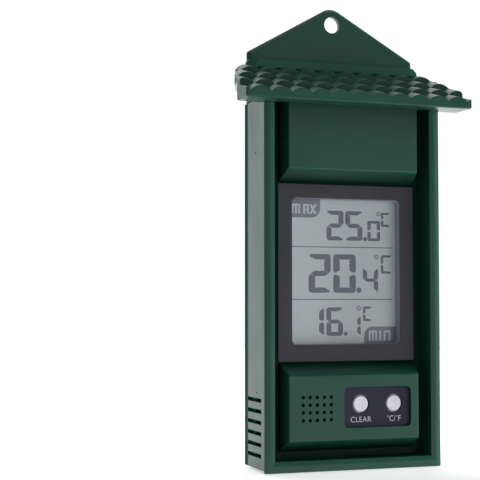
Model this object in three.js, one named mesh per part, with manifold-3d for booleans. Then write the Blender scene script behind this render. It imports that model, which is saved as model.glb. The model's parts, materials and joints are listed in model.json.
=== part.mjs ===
// Digital maximum minimum thermometer in a greenhouse-style wall case with a tiled roof.
// Millimetres. X runs across the case, Z is up and the display faces -Y. While it is built the
// flat back that rests on the wall is the plane y = 0; the last group centres the depth on Y.
import * as THREE from 'three';
import { mergeVertices } from 'three/addons/utils/BufferGeometryUtils.js';
import Module from 'manifold-3d';

const wasm = await Module();
wasm.setup();

// ---- driving dimensions ---------------------------------------------------------------------
const GAP = 0.3; // clearance between neighbouring pieces
const WALL = 2; // moulded wall thickness
const MERGE = 0.5; // how far a boss or rib runs into the wall that it stands on
const PAST = 1; // how far a cutter runs past the face that it opens

// case
const FRAME_HALF = 50; // half width of the front frame
const SIDE_HALF = 49.7; // half width over the side walls
const CASE_BOTTOM = 1; // underside of the side walls; the frame lip hangs to z = 0
const CASE_TOP = 193; // top of the case, inside the roof
const FRONT = -32; // front plane of the frame and of the two raised pads
const LIP = 1.7; // thickness of the overhanging front lip
const FLOOR = -21.1; // front surface of the recessed floor behind the frame
const SPLIT = -5; // joint between front case and rear cover
const STILE = 5.7; // width of the frame's uprights
const RAIL = 5.8; // height of the frame's bottom rail

// raised pads above and below the display
const PAD_HALF = 36.7;
const PAD_FOOT_HALF = 39;
const UPPER_PAD = { edge: 156.1, foot: 149.6 };
const LOWER_PAD = { bottom: 15.8, top: 49.3, footBottom: 9.6, footTop: 55.6 };
const CASE_BOSS = { outer: 3.5, pilot: 1.65, end: -7.3 };
const BOARD_POST = { outer: 2.8, pilot: 1.2, end: -11.3 };

// vent slots low on both sides
const VENT = { count: 6, first: 8.1, pitch: 5.68, height: 2.04, end: -25.5 };

// air holes in front of the sensor
const AIR_HOLE = { columns: 5, rows: 4, pitch: 3.9, radius: 1, x: -21.35, z: 32.25 };

// button panel
const LABEL = {
  x0: -6.2, x1: 32.2, z0: 21.9, z1: 42.8, radius: 2.6, recess: 2.65, thickness: 0.45,
  inset: 0.2, lift: 0.05, // inside the edge of its recess, and off the recess's floor
};
const BUTTON = {
  x: [4, 23.1], z: 33.95, radius: 4.5, front: -30.1, flange: 5.8, flangeThick: 1.2, stem: 2.2,
};
const PANEL = { back: -28.3, margin: 2, radius: 3 }; // thickened plate that the buttons stop against
const COLLAR = { inner: 6.1, outer: 7.4, end: -22 };

// display
const BEZEL = { half: 39, z0: 56, z1: 149, front: -22.1, thickness: 0.7 };
const WINDOW = { half: 31.1, z0: 64.7, z1: 141.7, radius: 2.6 };
const COLLAR_OUT = 2.1; // wall of the bezel's collar round the window
const COLLAR_BACK = -17.1;
const LENS = { front: -16.9, thickness: 1 };
const LCD = { half: 32.6, z0: 62.9, z1: 142.9, front: -15.7, thickness: 2.2 };
const HOLDER = { half: 35.4, z0: 60.6, z1: 145.4, front: -16.9 };
const STRIP = { half: 29, height: 2, inset: 1, gap: 0.1 }; // rubber strips from the LCD to the board

// circuit board
const BOARD = { half: 42, z0: 20, z1: 150, front: -11, thickness: 1.6 };
const BOARD_SCREW = { x: 38.5, z: [58.5, 146] };
const SOLDER_GAP = 0.1; // between the board and what is soldered to it
const CHIP = { x: 0, z: 96, radius: 6, height: 1.7 };
const CRYSTAL = { x: 14, z: 96, radius: 1, length: 6 };
const SENSOR = { tip: -27.4, bead: 1.5, wire: 0.3, wireX: 0.6 };
const SWITCH = { half: 3, height: 3.5, bore: 1.95, boreDepth: 2.2 };
const PLUNGER = { radius: 1.7, front: -16, length: 2.4 };

// rear cover and gable
const COVER = { plate: 2.4, gable: 3.2, lapEnd: -11, lapOuter: 47.4, lapThick: 1.5 };
const GABLE = { half: 48.8, apex: 249.25, slope: 0.572, cornerRadius: 1.6, apexRadius: 9, bevel: 1.9 };
const HANG_HOLE = { z: 238.9, radius: 4.4 };
const CASE_SCREW = { x: 42, z: [9, 184], seat: -4 };
const ROOF_SCREW = { x: 30, z: 202, seat: -1.7, bossEnd: -15, pilotEnd: -14 };
const SCREW_TOWER = 4.6; // radius
const SCREW_RECESS = 3.1;
const SCREW_CLEARANCE = 1.6;
const SCREW = {
  case: { head: 2.7, headHeight: 2, shank: 1.3, length: 13 },
  roof: { head: 2.7, headHeight: 1.3, shank: 1.3, length: 11 },
  board: { head: 1.9, headHeight: 1.3, shank: 0.9, length: 7 },
};

// battery bay, an AAA cell lying across the case
const BAY = { half: 26, z: 170, halfHeight: 6.5, depth: -13.6, wall: 1.6 };
const DOOR = { half: 31, halfHeight: 10, recess: 2, thickness: 1.7 };
const GRIP = { half: 8, z: 5, pitch: 2, depth: 0.6, halfHeight: 0.4 }; // grooves in the door's latch
const CELL = { radius: 5.25, length: 44.5, nub: 1.9, nubLength: 0.9, x: -20.6, y: -7.9 };
const CONTACT = { x: 25.45, thickness: 0.5, halfWidth: 5, tailHalf: 2, tail: 1.6 };
const SPRING = { turns: 2.5, wire: 0.35, base: 3.9, tip: 2, length: 3.9 };
const LEAD_RADIUS = 0.65;

// roof
const TILE = { pitch: 11.15, rise: 2.4, slope: 0.27, segments: 6 };
const ROWS = [
  { y: -12.55, crest: 211.63, offset: 0, tiles: 10 },
  { y: -22.75, crest: 206.43, offset: 0.5, tiles: 11 },
  { y: -33.0, crest: 201.23, offset: 0, tiles: 14 },
  { y: -43.3, crest: 196.03, offset: 0.5, tiles: 14 },
];
const ROOF = { half: 63.9, soffit: 190, soffitThick: 1.8, spare: 1.5, back: -3.5, wingBack: -26.7 };
const HIP = { front: -24.5, backHalf: 55.9, underside: 199.3 }; // slanting ends of the upper rows
const RIDGE = { half: 50.6, front: -6.8, z0: 212.6, z1: 217.3, chamfer: 2.4 };

const DEPTH = -ROWS[3].y; // wall to the front of the roof

// ---- solid helpers --------------------------------------------------------------------------
function toSolid(geometry) {
  const bare = geometry.index ? geometry.toNonIndexed() : geometry.clone();
  bare.deleteAttribute('normal');
  bare.deleteAttribute('uv');
  const merged = mergeVertices(bare, 1e-4);
  const mesh = new wasm.Mesh({
    numProp: 3,
    vertProperties: new Float32Array(merged.attributes.position.array),
    triVerts: new Uint32Array(merged.index.array),
  });
  return new wasm.Manifold(mesh);
}

function toGeometry(solid) {
  const mesh = solid.getMesh();
  const geometry = new THREE.BufferGeometry();
  geometry.setAttribute('position', new THREE.BufferAttribute(mesh.vertProperties.slice(), 3));
  geometry.setIndex(new THREE.BufferAttribute(mesh.triVerts.slice(), 1));
  geometry.computeVertexNormals();
  return geometry;
}

function box(x0, x1, y0, y1, z0, z1) {
  const geometry = new THREE.BoxGeometry(x1 - x0, y1 - y0, z1 - z0);
  geometry.translate((x0 + x1) / 2, (y0 + y1) / 2, (z0 + z1) / 2);
  return toSolid(geometry);
}

// A shape drawn in (x, z) and carried from y0 (front) to y1 (back).
function slabGeometry(shape, y0, y1, curveSegments) {
  const options = { depth: y1 - y0, bevelEnabled: false, curveSegments };
  const geometry = new THREE.ExtrudeGeometry(shape, options);
  geometry.rotateX(Math.PI / 2);
  geometry.translate(0, y1, 0);
  return geometry;
}

function slab(shape, y0, y1, curveSegments = 6) {
  return toSolid(slabGeometry(shape, y0, y1, curveSegments));
}

// A shape drawn in (x, y) and carried from z0 up to z1.
function column(shape, z0, z1) {
  const geometry = new THREE.ExtrudeGeometry(shape, { depth: z1 - z0, bevelEnabled: false });
  geometry.translate(0, 0, z0);
  return toSolid(geometry);
}

// A shape drawn in (y, z) and carried from x0 to x1.
function bar(shape, x0, x1) {
  const geometry = new THREE.ExtrudeGeometry(shape, { depth: x1 - x0, bevelEnabled: false });
  geometry.rotateY(Math.PI / 2);
  geometry.rotateX(Math.PI / 2);
  geometry.translate(x0, 0, 0);
  return toSolid(geometry);
}

function polygon(points) {
  return new THREE.Shape(points.map(([a, b]) => new THREE.Vector2(a, b)));
}

function roundedRect(x0, x1, z0, z1, r) {
  const shape = new THREE.Shape();
  shape.moveTo(x0 + r, z0);
  shape.lineTo(x1 - r, z0);
  shape.absarc(x1 - r, z0 + r, r, -Math.PI / 2, 0);
  shape.lineTo(x1, z1 - r);
  shape.absarc(x1 - r, z1 - r, r, 0, Math.PI / 2);
  shape.lineTo(x0 + r, z1);
  shape.absarc(x0 + r, z1 - r, r, Math.PI / 2, Math.PI);
  shape.lineTo(x0, z0 + r);
  shape.absarc(x0 + r, z0 + r, r, Math.PI, Math.PI * 1.5);
  return shape;
}

// A round bar along Y.
function rod(x, z, radius, y0, y1, sides = 20) {
  const geometry = new THREE.CylinderGeometry(radius, radius, y1 - y0, sides);
  geometry.translate(x, (y0 + y1) / 2, z);
  return toSolid(geometry);
}

// Convex outlines of (x, z) points, one at each y from front to back, with flat sides between them.
function loft(rings) {
  const count = rings[0].outline.length;
  const corners = rings.flatMap(({ y, outline }) => outline.map(([x, z]) => [x, y, z]));
  const faces = [];
  const last = (rings.length - 1) * count;
  for (let k = 1; k < count - 1; k += 1) {
    faces.push(0, k, k + 1, last, last + k + 1, last + k);
  }
  for (let ring = 0; ring < last; ring += count) {
    for (let i = 0; i < count; i += 1) {
      const j = (i + 1) % count;
      faces.push(ring + i, ring + count + i, ring + count + j);
      faces.push(ring + i, ring + count + j, ring + j);
    }
  }
  const geometry = new THREE.BufferGeometry();
  geometry.setAttribute('position', new THREE.BufferAttribute(new Float32Array(corners.flat()), 3));
  geometry.setIndex(faces);
  return toSolid(geometry);
}

function rectangle([x0, x1, z0, z1]) {
  return [[x0, z0], [x1, z0], [x1, z1], [x0, z1]];
}

// A block whose front rectangle and back rectangle differ, each given as [x0, x1, z0, z1].
function taper(front, yFront, back, yBack) {
  return loft([{ y: yFront, outline: rectangle(front) }, { y: yBack, outline: rectangle(back) }]);
}

function arcPoints(x, z, radius, from, to, steps) {
  const points = [];
  for (let i = 0; i <= steps; i += 1) {
    const angle = from + ((to - from) * i) / steps;
    points.push([x + radius * Math.cos(angle), z + radius * Math.sin(angle)]);
  }
  return points;
}

function tube(points, radius, steps, sides) {
  const path = new THREE.CatmullRomCurve3(points.map((p) => new THREE.Vector3(...p)));
  const section = new THREE.Shape();
  section.absarc(0, 0, radius, 0, Math.PI * 2);
  const options = { steps, curveSegments: sides, extrudePath: path, bevelEnabled: false };
  return toSolid(new THREE.ExtrudeGeometry(section, options));
}

function lathe(profile, sides) {
  const points = profile.map(([r, h]) => new THREE.Vector2(r, h));
  return toSolid(new THREE.LatheGeometry(points, sides));
}

function joined(solids) {
  return solids.reduce((sum, solid) => sum.add(solid));
}

function cut(solid, tools) {
  return tools.reduce((rest, tool) => rest.subtract(tool), solid);
}

function part(name, solid, color, roughness, metalness = 0) {
  const material = new THREE.MeshStandardMaterial({ color, roughness, metalness });
  const mesh = new THREE.Mesh(toGeometry(solid), material);
  mesh.name = name;
  return mesh;
}

// ---- materials' colours ---------------------------------------------------------------------
const GREEN = 0x1c4535;
const BEZEL_GREY = 0x3f3c42;
const LCD_GREY = 0xa9b7b6;
const WHITE = 0xe8e6f0;
const LABEL_PURPLE = 0x3b3a4a;
const STEEL = 0xb8babd;
const BOARD_GREEN = 0x2c6b3f;
const BLACK = 0x1b1b1d;
const RED = 0xb02a26;
const CLEAR = 0xdfe6e4;
const RUBBER_GREY = 0x53565c;
const SLEEVE_GREY = 0x3a3f45;

// ---- front case: frame, side walls, recessed floor and the two pads -------------------------
function ventSlots(side) {
  const slots = [];
  for (let i = 0; i < VENT.count; i += 1) {
    const z = VENT.first + i * VENT.pitch;
    const inner = SIDE_HALF - WALL - PAST;
    const outer = FRAME_HALF + PAST;
    const [x0, x1] = side > 0 ? [inner, outer] : [-outer, -inner];
    slots.push(box(x0, x1, VENT.end, SPLIT + PAST, z - VENT.height / 2, z + VENT.height / 2));
  }
  return slots;
}

function airHoles() {
  const holes = [];
  for (let i = 0; i < AIR_HOLE.columns; i += 1) {
    for (let j = 0; j < AIR_HOLE.rows; j += 1) {
      const x = AIR_HOLE.x + (i - (AIR_HOLE.columns - 1) / 2) * AIR_HOLE.pitch;
      const z = AIR_HOLE.z + (j - (AIR_HOLE.rows - 1) / 2) * AIR_HOLE.pitch;
      holes.push(rod(x, z, AIR_HOLE.radius, FRONT - PAST, FRONT + WALL + PAST, 8));
    }
  }
  return holes;
}

function mirroredRods(x, zs, radius, y0, y1, sides) {
  return zs.flatMap((z) => [rod(-x, z, radius, y0, y1, sides), rod(x, z, radius, y0, y1, sides)]);
}

// One raised pad and the hollow behind it: [front rectangle, foot rectangle], each [x0, x1, z0, z1].
function pad(top, foot) {
  const shrunk = ([x0, x1, z0, z1]) => [x0 + WALL, x1 - WALL, z0 + WALL, z1 - WALL];
  return {
    solid: taper(top, FRONT, foot, FLOOR),
    hollow: taper(shrunk(top), FRONT + WALL, shrunk(foot), FLOOR + WALL),
  };
}

function frontCase() {
  const floorBack = FLOOR + WALL;
  const innerTop = CASE_TOP - WALL;
  const wellHalf = FRAME_HALF - STILE;
  const sideInner = SIDE_HALF - WALL;
  const body = box(-SIDE_HALF, SIDE_HALF, FRONT + LIP, SPLIT - GAP, CASE_BOTTOM, CASE_TOP);
  const lip = box(-FRAME_HALF, FRAME_HALF, FRONT, FRONT + LIP, 0, CASE_TOP);
  const well = box(-wellHalf, wellHalf, FRONT - PAST, FLOOR, RAIL, innerTop);
  const hollow = box(-sideInner, sideInner, floorBack, 0, CASE_BOTTOM + WALL, innerTop);
  const upper = pad(
    [-PAD_HALF, PAD_HALF, UPPER_PAD.edge, innerTop],
    [-PAD_FOOT_HALF, PAD_FOOT_HALF, UPPER_PAD.foot, innerTop],
  );
  const lower = pad(
    [-PAD_HALF, PAD_HALF, LOWER_PAD.bottom, LOWER_PAD.top],
    [-PAD_FOOT_HALF, PAD_FOOT_HALF, LOWER_PAD.footBottom, LOWER_PAD.footTop],
  );
  const opening = WINDOW.half + COLLAR_OUT + GAP;
  const stileHollows = [-1, 1].map((side) => {
    const inner = wellHalf + WALL;
    const [x0, x1] = side > 0 ? [inner, sideInner] : [-sideInner, -inner];
    return box(x0, x1, FRONT + WALL, floorBack + PAST, CASE_BOTTOM + WALL, innerTop);
  });
  const displayOpening = box(
    -opening, opening, FLOOR - PAST, floorBack + PAST,
    WINDOW.z0 - COLLAR_OUT - GAP, WINDOW.z1 + COLLAR_OUT + GAP,
  );
  const shell = cut(cut(body.add(lip), [well]).add(upper.solid).add(lower.solid),
    [hollow, upper.hollow, lower.hollow, displayOpening, ...stileHollows]);

  const { margin } = PANEL;
  const panelShape = roundedRect(
    LABEL.x0 - margin, LABEL.x1 + margin, LABEL.z0 - margin, LABEL.z1 + margin, PANEL.radius,
  );
  const panelPlate = slab(panelShape, FRONT + WALL - MERGE, PANEL.back, 3);
  const atButtons = (radius, y0, y1) => BUTTON.x.map((x) => rod(x, BUTTON.z, radius, y0, y1));
  const collars = atButtons(COLLAR.outer, PANEL.back - MERGE, COLLAR.end);
  const collarBores = atButtons(COLLAR.inner, PANEL.back, COLLAR.end + PAST);
  const buttonHoles = atButtons(BUTTON.radius + GAP, FRONT, PANEL.back + PAST);
  const labelShape = roundedRect(LABEL.x0, LABEL.x1, LABEL.z0, LABEL.z1, LABEL.radius);
  const labelRecess = slab(labelShape, FRONT - PAST, FRONT + LABEL.recess);

  const bosses = (at, { outer, end }) => mirroredRods(at.x, at.z, outer, floorBack - MERGE, end, 16);
  const pilots = (at, { pilot, end }) => (
    mirroredRods(at.x, at.z, pilot, floorBack + MERGE, end + GAP, 12)
  );
  const solid = joined([
    shell, panelPlate, ...collars, ...bosses(CASE_SCREW, CASE_BOSS), ...bosses(BOARD_SCREW, BOARD_POST),
  ]);
  const tools = [
    ...collarBores, ...buttonHoles, labelRecess, ...pilots(CASE_SCREW, CASE_BOSS),
    ...pilots(BOARD_SCREW, BOARD_POST), ...airHoles(), ...ventSlots(-1), ...ventSlots(1),
  ];
  return part('front_case', cut(solid, tools), GREEN, 0.4);
}

// ---- rear cover: back plate, rim, gable hanger and battery bay ------------------------------
// The gable's outline, drawn in by a margin: two rounded eaves and a rounder apex.
function gableOutline(margin) {
  const angle = Math.atan(GABLE.slope);
  const tilt = Math.PI / 2 - angle;
  const half = GABLE.half - margin;
  const peak = GABLE.apex - margin / Math.cos(angle);
  const cornerRadius = Math.max(GABLE.cornerRadius - margin, GAP);
  const apexRadius = GABLE.apexRadius - margin;
  const cornerX = half - cornerRadius;
  const cornerZ = peak - GABLE.slope * cornerX - cornerRadius / Math.cos(angle);
  const apexZ = peak - apexRadius / Math.cos(angle);
  return [
    [-half, CASE_TOP - WALL], [half, CASE_TOP - WALL],
    ...arcPoints(cornerX, cornerZ, cornerRadius, 0, tilt, 3),
    ...arcPoints(0, apexZ, apexRadius, tilt, Math.PI - tilt, 8),
    ...arcPoints(-cornerX, cornerZ, cornerRadius, Math.PI - tilt, Math.PI, 3),
  ];
}

// The gable plate, whose front edge is bevelled all round.
function gablePlate() {
  return loft([
    { y: -COVER.gable, outline: gableOutline(GABLE.bevel) },
    { y: GABLE.bevel - COVER.gable, outline: gableOutline(0) },
    { y: 0, outline: gableOutline(0) },
  ]);
}

function ring(half, z0, z1, thick, y0, y1) {
  const outer = box(-half, half, y0, y1, z0, z1);
  return cut(outer, [box(thick - half, half - thick, y0 - 1, y1 + 1, z0 + thick, z1 - thick)]);
}

function rearCover() {
  const lapBottom = CASE_BOTTOM + WALL + GAP;
  const lapTop = CASE_TOP - WALL - GAP;
  const ribBack = MERGE - COVER.plate;
  const plate = box(-SIDE_HALF, SIDE_HALF, -COVER.plate, 0, CASE_BOTTOM, CASE_TOP);
  const rim = ring(SIDE_HALF, CASE_BOTTOM, CASE_TOP, WALL, SPLIT, ribBack);
  const lap = ring(COVER.lapOuter, lapBottom, lapTop, COVER.lapThick, COVER.lapEnd, ribBack);
  const lapBridge = ring(SIDE_HALF - 1, CASE_BOTTOM + 1, CASE_TOP - 1, WALL + 1, SPLIT, ribBack);
  const towers = mirroredRods(CASE_SCREW.x, CASE_SCREW.z, SCREW_TOWER, -7, ribBack, 20);
  const screwHoles = [[CASE_SCREW, CASE_SCREW.z], [ROOF_SCREW, [ROOF_SCREW.z]]].flatMap(
    ([at, zs]) => [
      ...mirroredRods(at.x, zs, SCREW_RECESS, at.seat, PAST, 20),
      ...mirroredRods(at.x, zs, SCREW_CLEARANCE, -8, 0, 12),
    ],
  );
  const hangHole = rod(0, HANG_HOLE.z, HANG_HOLE.radius, -COVER.gable - PAST, PAST, 32);

  const [bayLow, bayHigh] = [BAY.z - BAY.halfHeight, BAY.z + BAY.halfHeight];
  const bayOuter = box(
    -BAY.half - BAY.wall, BAY.half + BAY.wall, BAY.depth - BAY.wall, ribBack,
    bayLow - BAY.wall, bayHigh + BAY.wall,
  );
  const seat = box(
    -DOOR.half - WALL, DOOR.half + WALL, -DOOR.recess - WALL, ribBack,
    BAY.z - DOOR.halfHeight - WALL, BAY.z + DOOR.halfHeight + WALL,
  );
  const bayInner = box(-BAY.half, BAY.half, BAY.depth, PAST, bayLow, bayHigh);
  const doorRecess = box(
    -DOOR.half, DOOR.half, -DOOR.recess, PAST, BAY.z - DOOR.halfHeight, BAY.z + DOOR.halfHeight,
  );
  const tailSlots = [-1, 1].map((side) => {
    const x = side * CONTACT.x;
    const half = CONTACT.thickness / 2 + MERGE;
    const tall = CONTACT.tailHalf + 2 * GAP;
    return box(x - half, x + half, BAY.depth - BAY.wall - PAST, BAY.depth + PAST, BAY.z - tall, BAY.z + tall);
  });
  const solid = joined([plate, rim, lap, lapBridge, gablePlate(), ...towers, bayOuter, seat]);
  const tools = [...screwHoles, hangHole, bayInner, doorRecess, ...tailSlots];
  return part('rear_cover', cut(solid, tools), GREEN, 0.45);
}

// ---- roof: four stepped rows of round tiles over a hollow moulding --------------------------
// One row of tiles as a block: its front face carries the arches and its top climbs to the back.
function tileRow(row) {
  const top = [];
  const count = Math.ceil(ROOF.half / TILE.pitch) + 1;
  const radius = ((TILE.pitch / 2) ** 2 + TILE.rise ** 2) / (2 * TILE.rise);
  const first = -count * TILE.pitch + row.offset * TILE.pitch;
  for (let tile = 0; tile < count * 2; tile += 1) {
    for (let i = 0; i < TILE.segments; i += 1) {
      const u = (i / TILE.segments - 0.5) * TILE.pitch;
      const x = first + (tile + 0.5) * TILE.pitch + u;
      const arch = Math.sqrt(radius ** 2 - u ** 2) - radius + TILE.rise;
      const onTile = Math.abs(x) < (row.tiles / 2) * TILE.pitch;
      top.push([x, row.crest - TILE.rise + (onTile ? arch : 0)]);
    }
  }
  const outline = polygon([...top, [top.at(-1)[0], ROOF.soffit], [top[0][0], ROOF.soffit]]);
  const geometry = slabGeometry(outline, row.y, ROOF.back);
  const position = geometry.attributes.position;
  for (let i = 0; i < position.count; i += 1) {
    const z = position.getZ(i);
    const climb = z > ROOF.soffit + 1 ? (position.getY(i) - row.y) * TILE.slope : 0;
    position.setZ(i, z + climb);
  }
  return toSolid(geometry);
}

// The upper rows seen from above, drawn in by a margin: their ends slant in towards the wall.
function hipPlan(margin) {
  const half = ROOF.half - margin;
  const back = ROOF.back - margin;
  return polygon([
    [-half, ROWS[2].y], [half, ROWS[2].y], [half, HIP.front], [HIP.backHalf - margin, back],
    [margin - HIP.backHalf, back], [-half, HIP.front],
  ]);
}

function roof() {
  const high = RIDGE.z1 + PAST;
  const seam = CASE_TOP + GAP;
  const soffitTop = ROOF.soffit + ROOF.soffitThick;
  const wings = box(-ROOF.half, ROOF.half, -DEPTH, ROOF.wingBack, ROOF.soffit, high);
  const hips = column(hipPlan(0), HIP.underside, high);
  const housing = box(-SIDE_HALF, SIDE_HALF, ROOF.wingBack - 1, ROOF.back, seam, high);
  const tiles = joined(ROWS.map(tileRow)).intersect(joined([wings, hips, housing]));
  const ridge = slab(polygon([
    [-RIDGE.half, RIDGE.z0], [RIDGE.half, RIDGE.z0], [RIDGE.half, RIDGE.z1 - RIDGE.chamfer],
    [RIDGE.half - RIDGE.chamfer, RIDGE.z1], [RIDGE.chamfer - RIDGE.half, RIDGE.z1],
    [-RIDGE.half, RIDGE.z1 - RIDGE.chamfer],
  ]), RIDGE.front, ROOF.back);
  const outer = tiles.add(ridge);

  const climb = (ROWS[0].crest - ROWS[3].crest) / (ROWS[0].y - ROWS[3].y);
  const ceiling = (y) => ROWS[3].crest - TILE.rise - WALL - ROOF.spare + (y + DEPTH) * climb;
  const hollowFront = 2 * WALL - DEPTH;
  const highest = ceiling(RIDGE.front);
  const hollowSection = polygon([
    [hollowFront, soffitTop], [PAST, soffitTop], [PAST, highest], [RIDGE.front, highest],
    [hollowFront, ceiling(hollowFront)],
  ]);
  const wingHollow = box(
    WALL - ROOF.half, ROOF.half - WALL, -DEPTH, ROOF.wingBack - WALL, ROOF.soffit, high,
  );
  const housingHollow = box(
    WALL - SIDE_HALF, SIDE_HALF - WALL, ROOF.wingBack - 2 * WALL, PAST, ROOF.soffit, high,
  );
  const hipHollow = cut(column(hipPlan(WALL), ROOF.soffit, high), [
    box(-SIDE_HALF, SIDE_HALF, -DEPTH, PAST, 0, high),
    box(-ROOF.half, ROOF.half, -DEPTH, ROOF.wingBack, 0, high),
  ]);
  const hollow = bar(hollowSection, -ROOF.half, ROOF.half)
    .intersect(joined([wingHollow, housingHollow, hipHollow]));
  const caseOpening = box(
    -FRAME_HALF - GAP, FRAME_HALF + GAP, FRONT - GAP, PAST, ROOF.soffit - PAST, seam,
  );
  const { bossEnd, pilotEnd } = ROOF_SCREW;
  const bossBlocks = [-1, 1].flatMap((side) => {
    const x = side * ROOF_SCREW.x;
    return [
      rod(x, ROOF_SCREW.z, CASE_BOSS.outer, bossEnd, ROOF.back, 16),
      box(x - WALL / 2, x + WALL / 2, bossEnd, ROOF.back, ROOF_SCREW.z, high),
    ];
  });
  const bosses = joined(bossBlocks).intersect(outer);
  const pilots = mirroredRods(ROOF_SCREW.x, [ROOF_SCREW.z], CASE_BOSS.pilot, pilotEnd, 0, 12);
  const solid = cut(cut(outer, [hollow, caseOpening]).add(bosses), pilots);
  return part('roof', solid, GREEN, 0.4);
}

// ---- display: bezel, lens, LCD, its holder and connector strips -----------------------------
function display() {
  const flange = slab(roundedRect(-BEZEL.half, BEZEL.half, BEZEL.z0, BEZEL.z1, 0.6),
    BEZEL.front, BEZEL.front + BEZEL.thickness, 2);
  const collar = slab(roundedRect(-WINDOW.half - COLLAR_OUT, WINDOW.half + COLLAR_OUT,
    WINDOW.z0 - COLLAR_OUT, WINDOW.z1 + COLLAR_OUT, 1), BEZEL.front + BEZEL.thickness / 2, COLLAR_BACK, 2);
  const windowShape = roundedRect(-WINDOW.half, WINDOW.half, WINDOW.z0, WINDOW.z1, WINDOW.radius);
  const window = slab(windowShape, BEZEL.front - PAST, COLLAR_BACK + PAST);
  const bezel = part('display_bezel', cut(flange.add(collar), [window]), BEZEL_GREY, 0.35);

  const lensSolid = box(-LCD.half, LCD.half, LENS.front, LENS.front + LENS.thickness, LCD.z0, LCD.z1);
  const lens = part('display_lens', lensSolid, CLEAR, 0.08);
  lens.material.transparent = true;
  lens.material.opacity = 0.25;
  const lcdSolid = box(-LCD.half, LCD.half, LCD.front, LCD.front + LCD.thickness, LCD.z0, LCD.z1);
  const lcd = part('lcd_panel', lcdSolid, LCD_GREY, 0.3);

  const holderInner = box(
    -LCD.half - GAP, LCD.half + GAP, HOLDER.front - PAST, 0, LCD.z0 - GAP, LCD.z1 + GAP,
  );
  const holderOuter = box(
    -HOLDER.half, HOLDER.half, HOLDER.front, BOARD.front - GAP, HOLDER.z0, HOLDER.z1,
  );
  const holder = part('lcd_holder', cut(holderOuter, [holderInner]), WHITE, 0.5);

  const stripBack = BOARD.front - STRIP.gap;
  const stripFront = LCD.front + LCD.thickness + STRIP.gap;
  const strip = (name, z) => part(
    name, box(-STRIP.half, STRIP.half, stripFront, stripBack, z, z + STRIP.height), RUBBER_GREY, 0.7,
  );
  const strips = [
    strip('connector_strip_lower', LCD.z0 + STRIP.inset),
    strip('connector_strip_upper', LCD.z1 - STRIP.inset - STRIP.height),
  ];
  return [bezel, lens, lcd, holder, ...strips];
}

// ---- circuit board and what is soldered to it -----------------------------------------------
const BOARD_BACK = BOARD.front + BOARD.thickness;

function board() {
  const blank = box(-BOARD.half, BOARD.half, BOARD.front, BOARD_BACK, BOARD.z0, BOARD.z1);
  const holes = mirroredRods(
    BOARD_SCREW.x, BOARD_SCREW.z, BOARD_POST.pilot, BOARD.front - PAST, BOARD_BACK + PAST, 12,
  );
  return part('circuit_board', cut(blank, holes), BOARD_GREEN, 0.45);
}

// The controller under its round drop of epoxy.
function chip() {
  const { radius, height } = CHIP;
  const profile = [
    [0, 0], [radius, 0], [radius * 0.93, height * 0.41], [radius * 0.67, height * 0.76],
    [radius * 0.33, height * 0.94], [0, height],
  ];
  const mesh = part('controller_chip', lathe(profile, 20), BLACK, 0.3);
  mesh.position.set(CHIP.x, BOARD_BACK + SOLDER_GAP, CHIP.z);
  return mesh;
}

function crystal() {
  const can = new THREE.CylinderGeometry(CRYSTAL.radius, CRYSTAL.radius, CRYSTAL.length, 12);
  const mesh = part('timing_crystal', toSolid(can), STEEL, 0.25, 0.9);
  mesh.position.set(CRYSTAL.x, BOARD_BACK + CRYSTAL.radius + SOLDER_GAP, CRYSTAL.z);
  mesh.rotation.z = Math.PI / 2;
  return mesh;
}

// A bead on two stiff wires, which hold it just behind the air holes.
function sensor() {
  const { tip, wire, wireX } = SENSOR;
  const bead = new THREE.SphereGeometry(SENSOR.bead, 12, 8);
  const leg = (x) => rod(x, 0, wire, tip + SENSOR.bead / 2, BOARD.front - SOLDER_GAP, 6);
  bead.translate(0, tip, 0);
  const solid = joined([toSolid(bead), leg(-wireX), leg(wireX)]);
  const mesh = part('temperature_sensor', solid, BLACK, 0.4);
  mesh.position.set(AIR_HOLE.x, 0, AIR_HOLE.z);
  return mesh;
}

// A tactile switch on the board, and the plunger that its button presses.
function tactSwitch(name, x) {
  const { half } = SWITCH;
  const back = BOARD.front - SOLDER_GAP;
  const front = back - SWITCH.height;
  const plungerBack = PLUNGER.front + PLUNGER.length;
  const body = box(x - half, x + half, front, back, BUTTON.z - half, BUTTON.z + half);
  const bore = rod(x, BUTTON.z, SWITCH.bore, front - PAST, front + SWITCH.boreDepth, 16);
  const plunger = rod(x, BUTTON.z, PLUNGER.radius, PLUNGER.front, plungerBack, 16);
  return [
    part(`${name}_switch`, cut(body, [bore]), STEEL, 0.4, 0.6),
    part(`${name}_switch_plunger`, plunger, BLACK, 0.5),
  ];
}

// ---- button panel ---------------------------------------------------------------------------
function buttonLabel() {
  const { x0, x1, z0, z1, radius, recess, thickness, inset } = LABEL;
  const shape = roundedRect(x0 + inset, x1 - inset, z0 + inset, z1 - inset, radius - inset);
  const back = FRONT + recess - LABEL.lift;
  const holeRadius = BUTTON.radius + GAP + LABEL.lift;
  const holes = BUTTON.x.map((x) => rod(x, BUTTON.z, holeRadius, FRONT, back + PAST, 24));
  return part('button_label', cut(slab(shape, back - thickness, back), holes), LABEL_PURPLE, 0.5);
}

// Cap with a slightly rounded rim, a stop flange behind the panel and a stem to the switch.
function button(name, x) {
  const flangeFront = PANEL.back + GAP;
  const flangeBack = flangeFront + BUTTON.flangeThick;
  const stemBack = PLUNGER.front - GAP;
  const { radius, flange, stem, front } = BUTTON;
  const profile = [
    [0, front], [radius - 0.9, front], [radius - 0.25, front + 0.2], [radius, front + 0.7],
    [radius, flangeFront], [flange, flangeFront], [flange, flangeBack],
    [stem, flangeBack], [stem, stemBack], [0, stemBack],
  ];
  const mesh = part(name, lathe(profile, 28), WHITE, 0.35);
  mesh.position.set(x, 0, BUTTON.z);
  return mesh;
}

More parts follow.
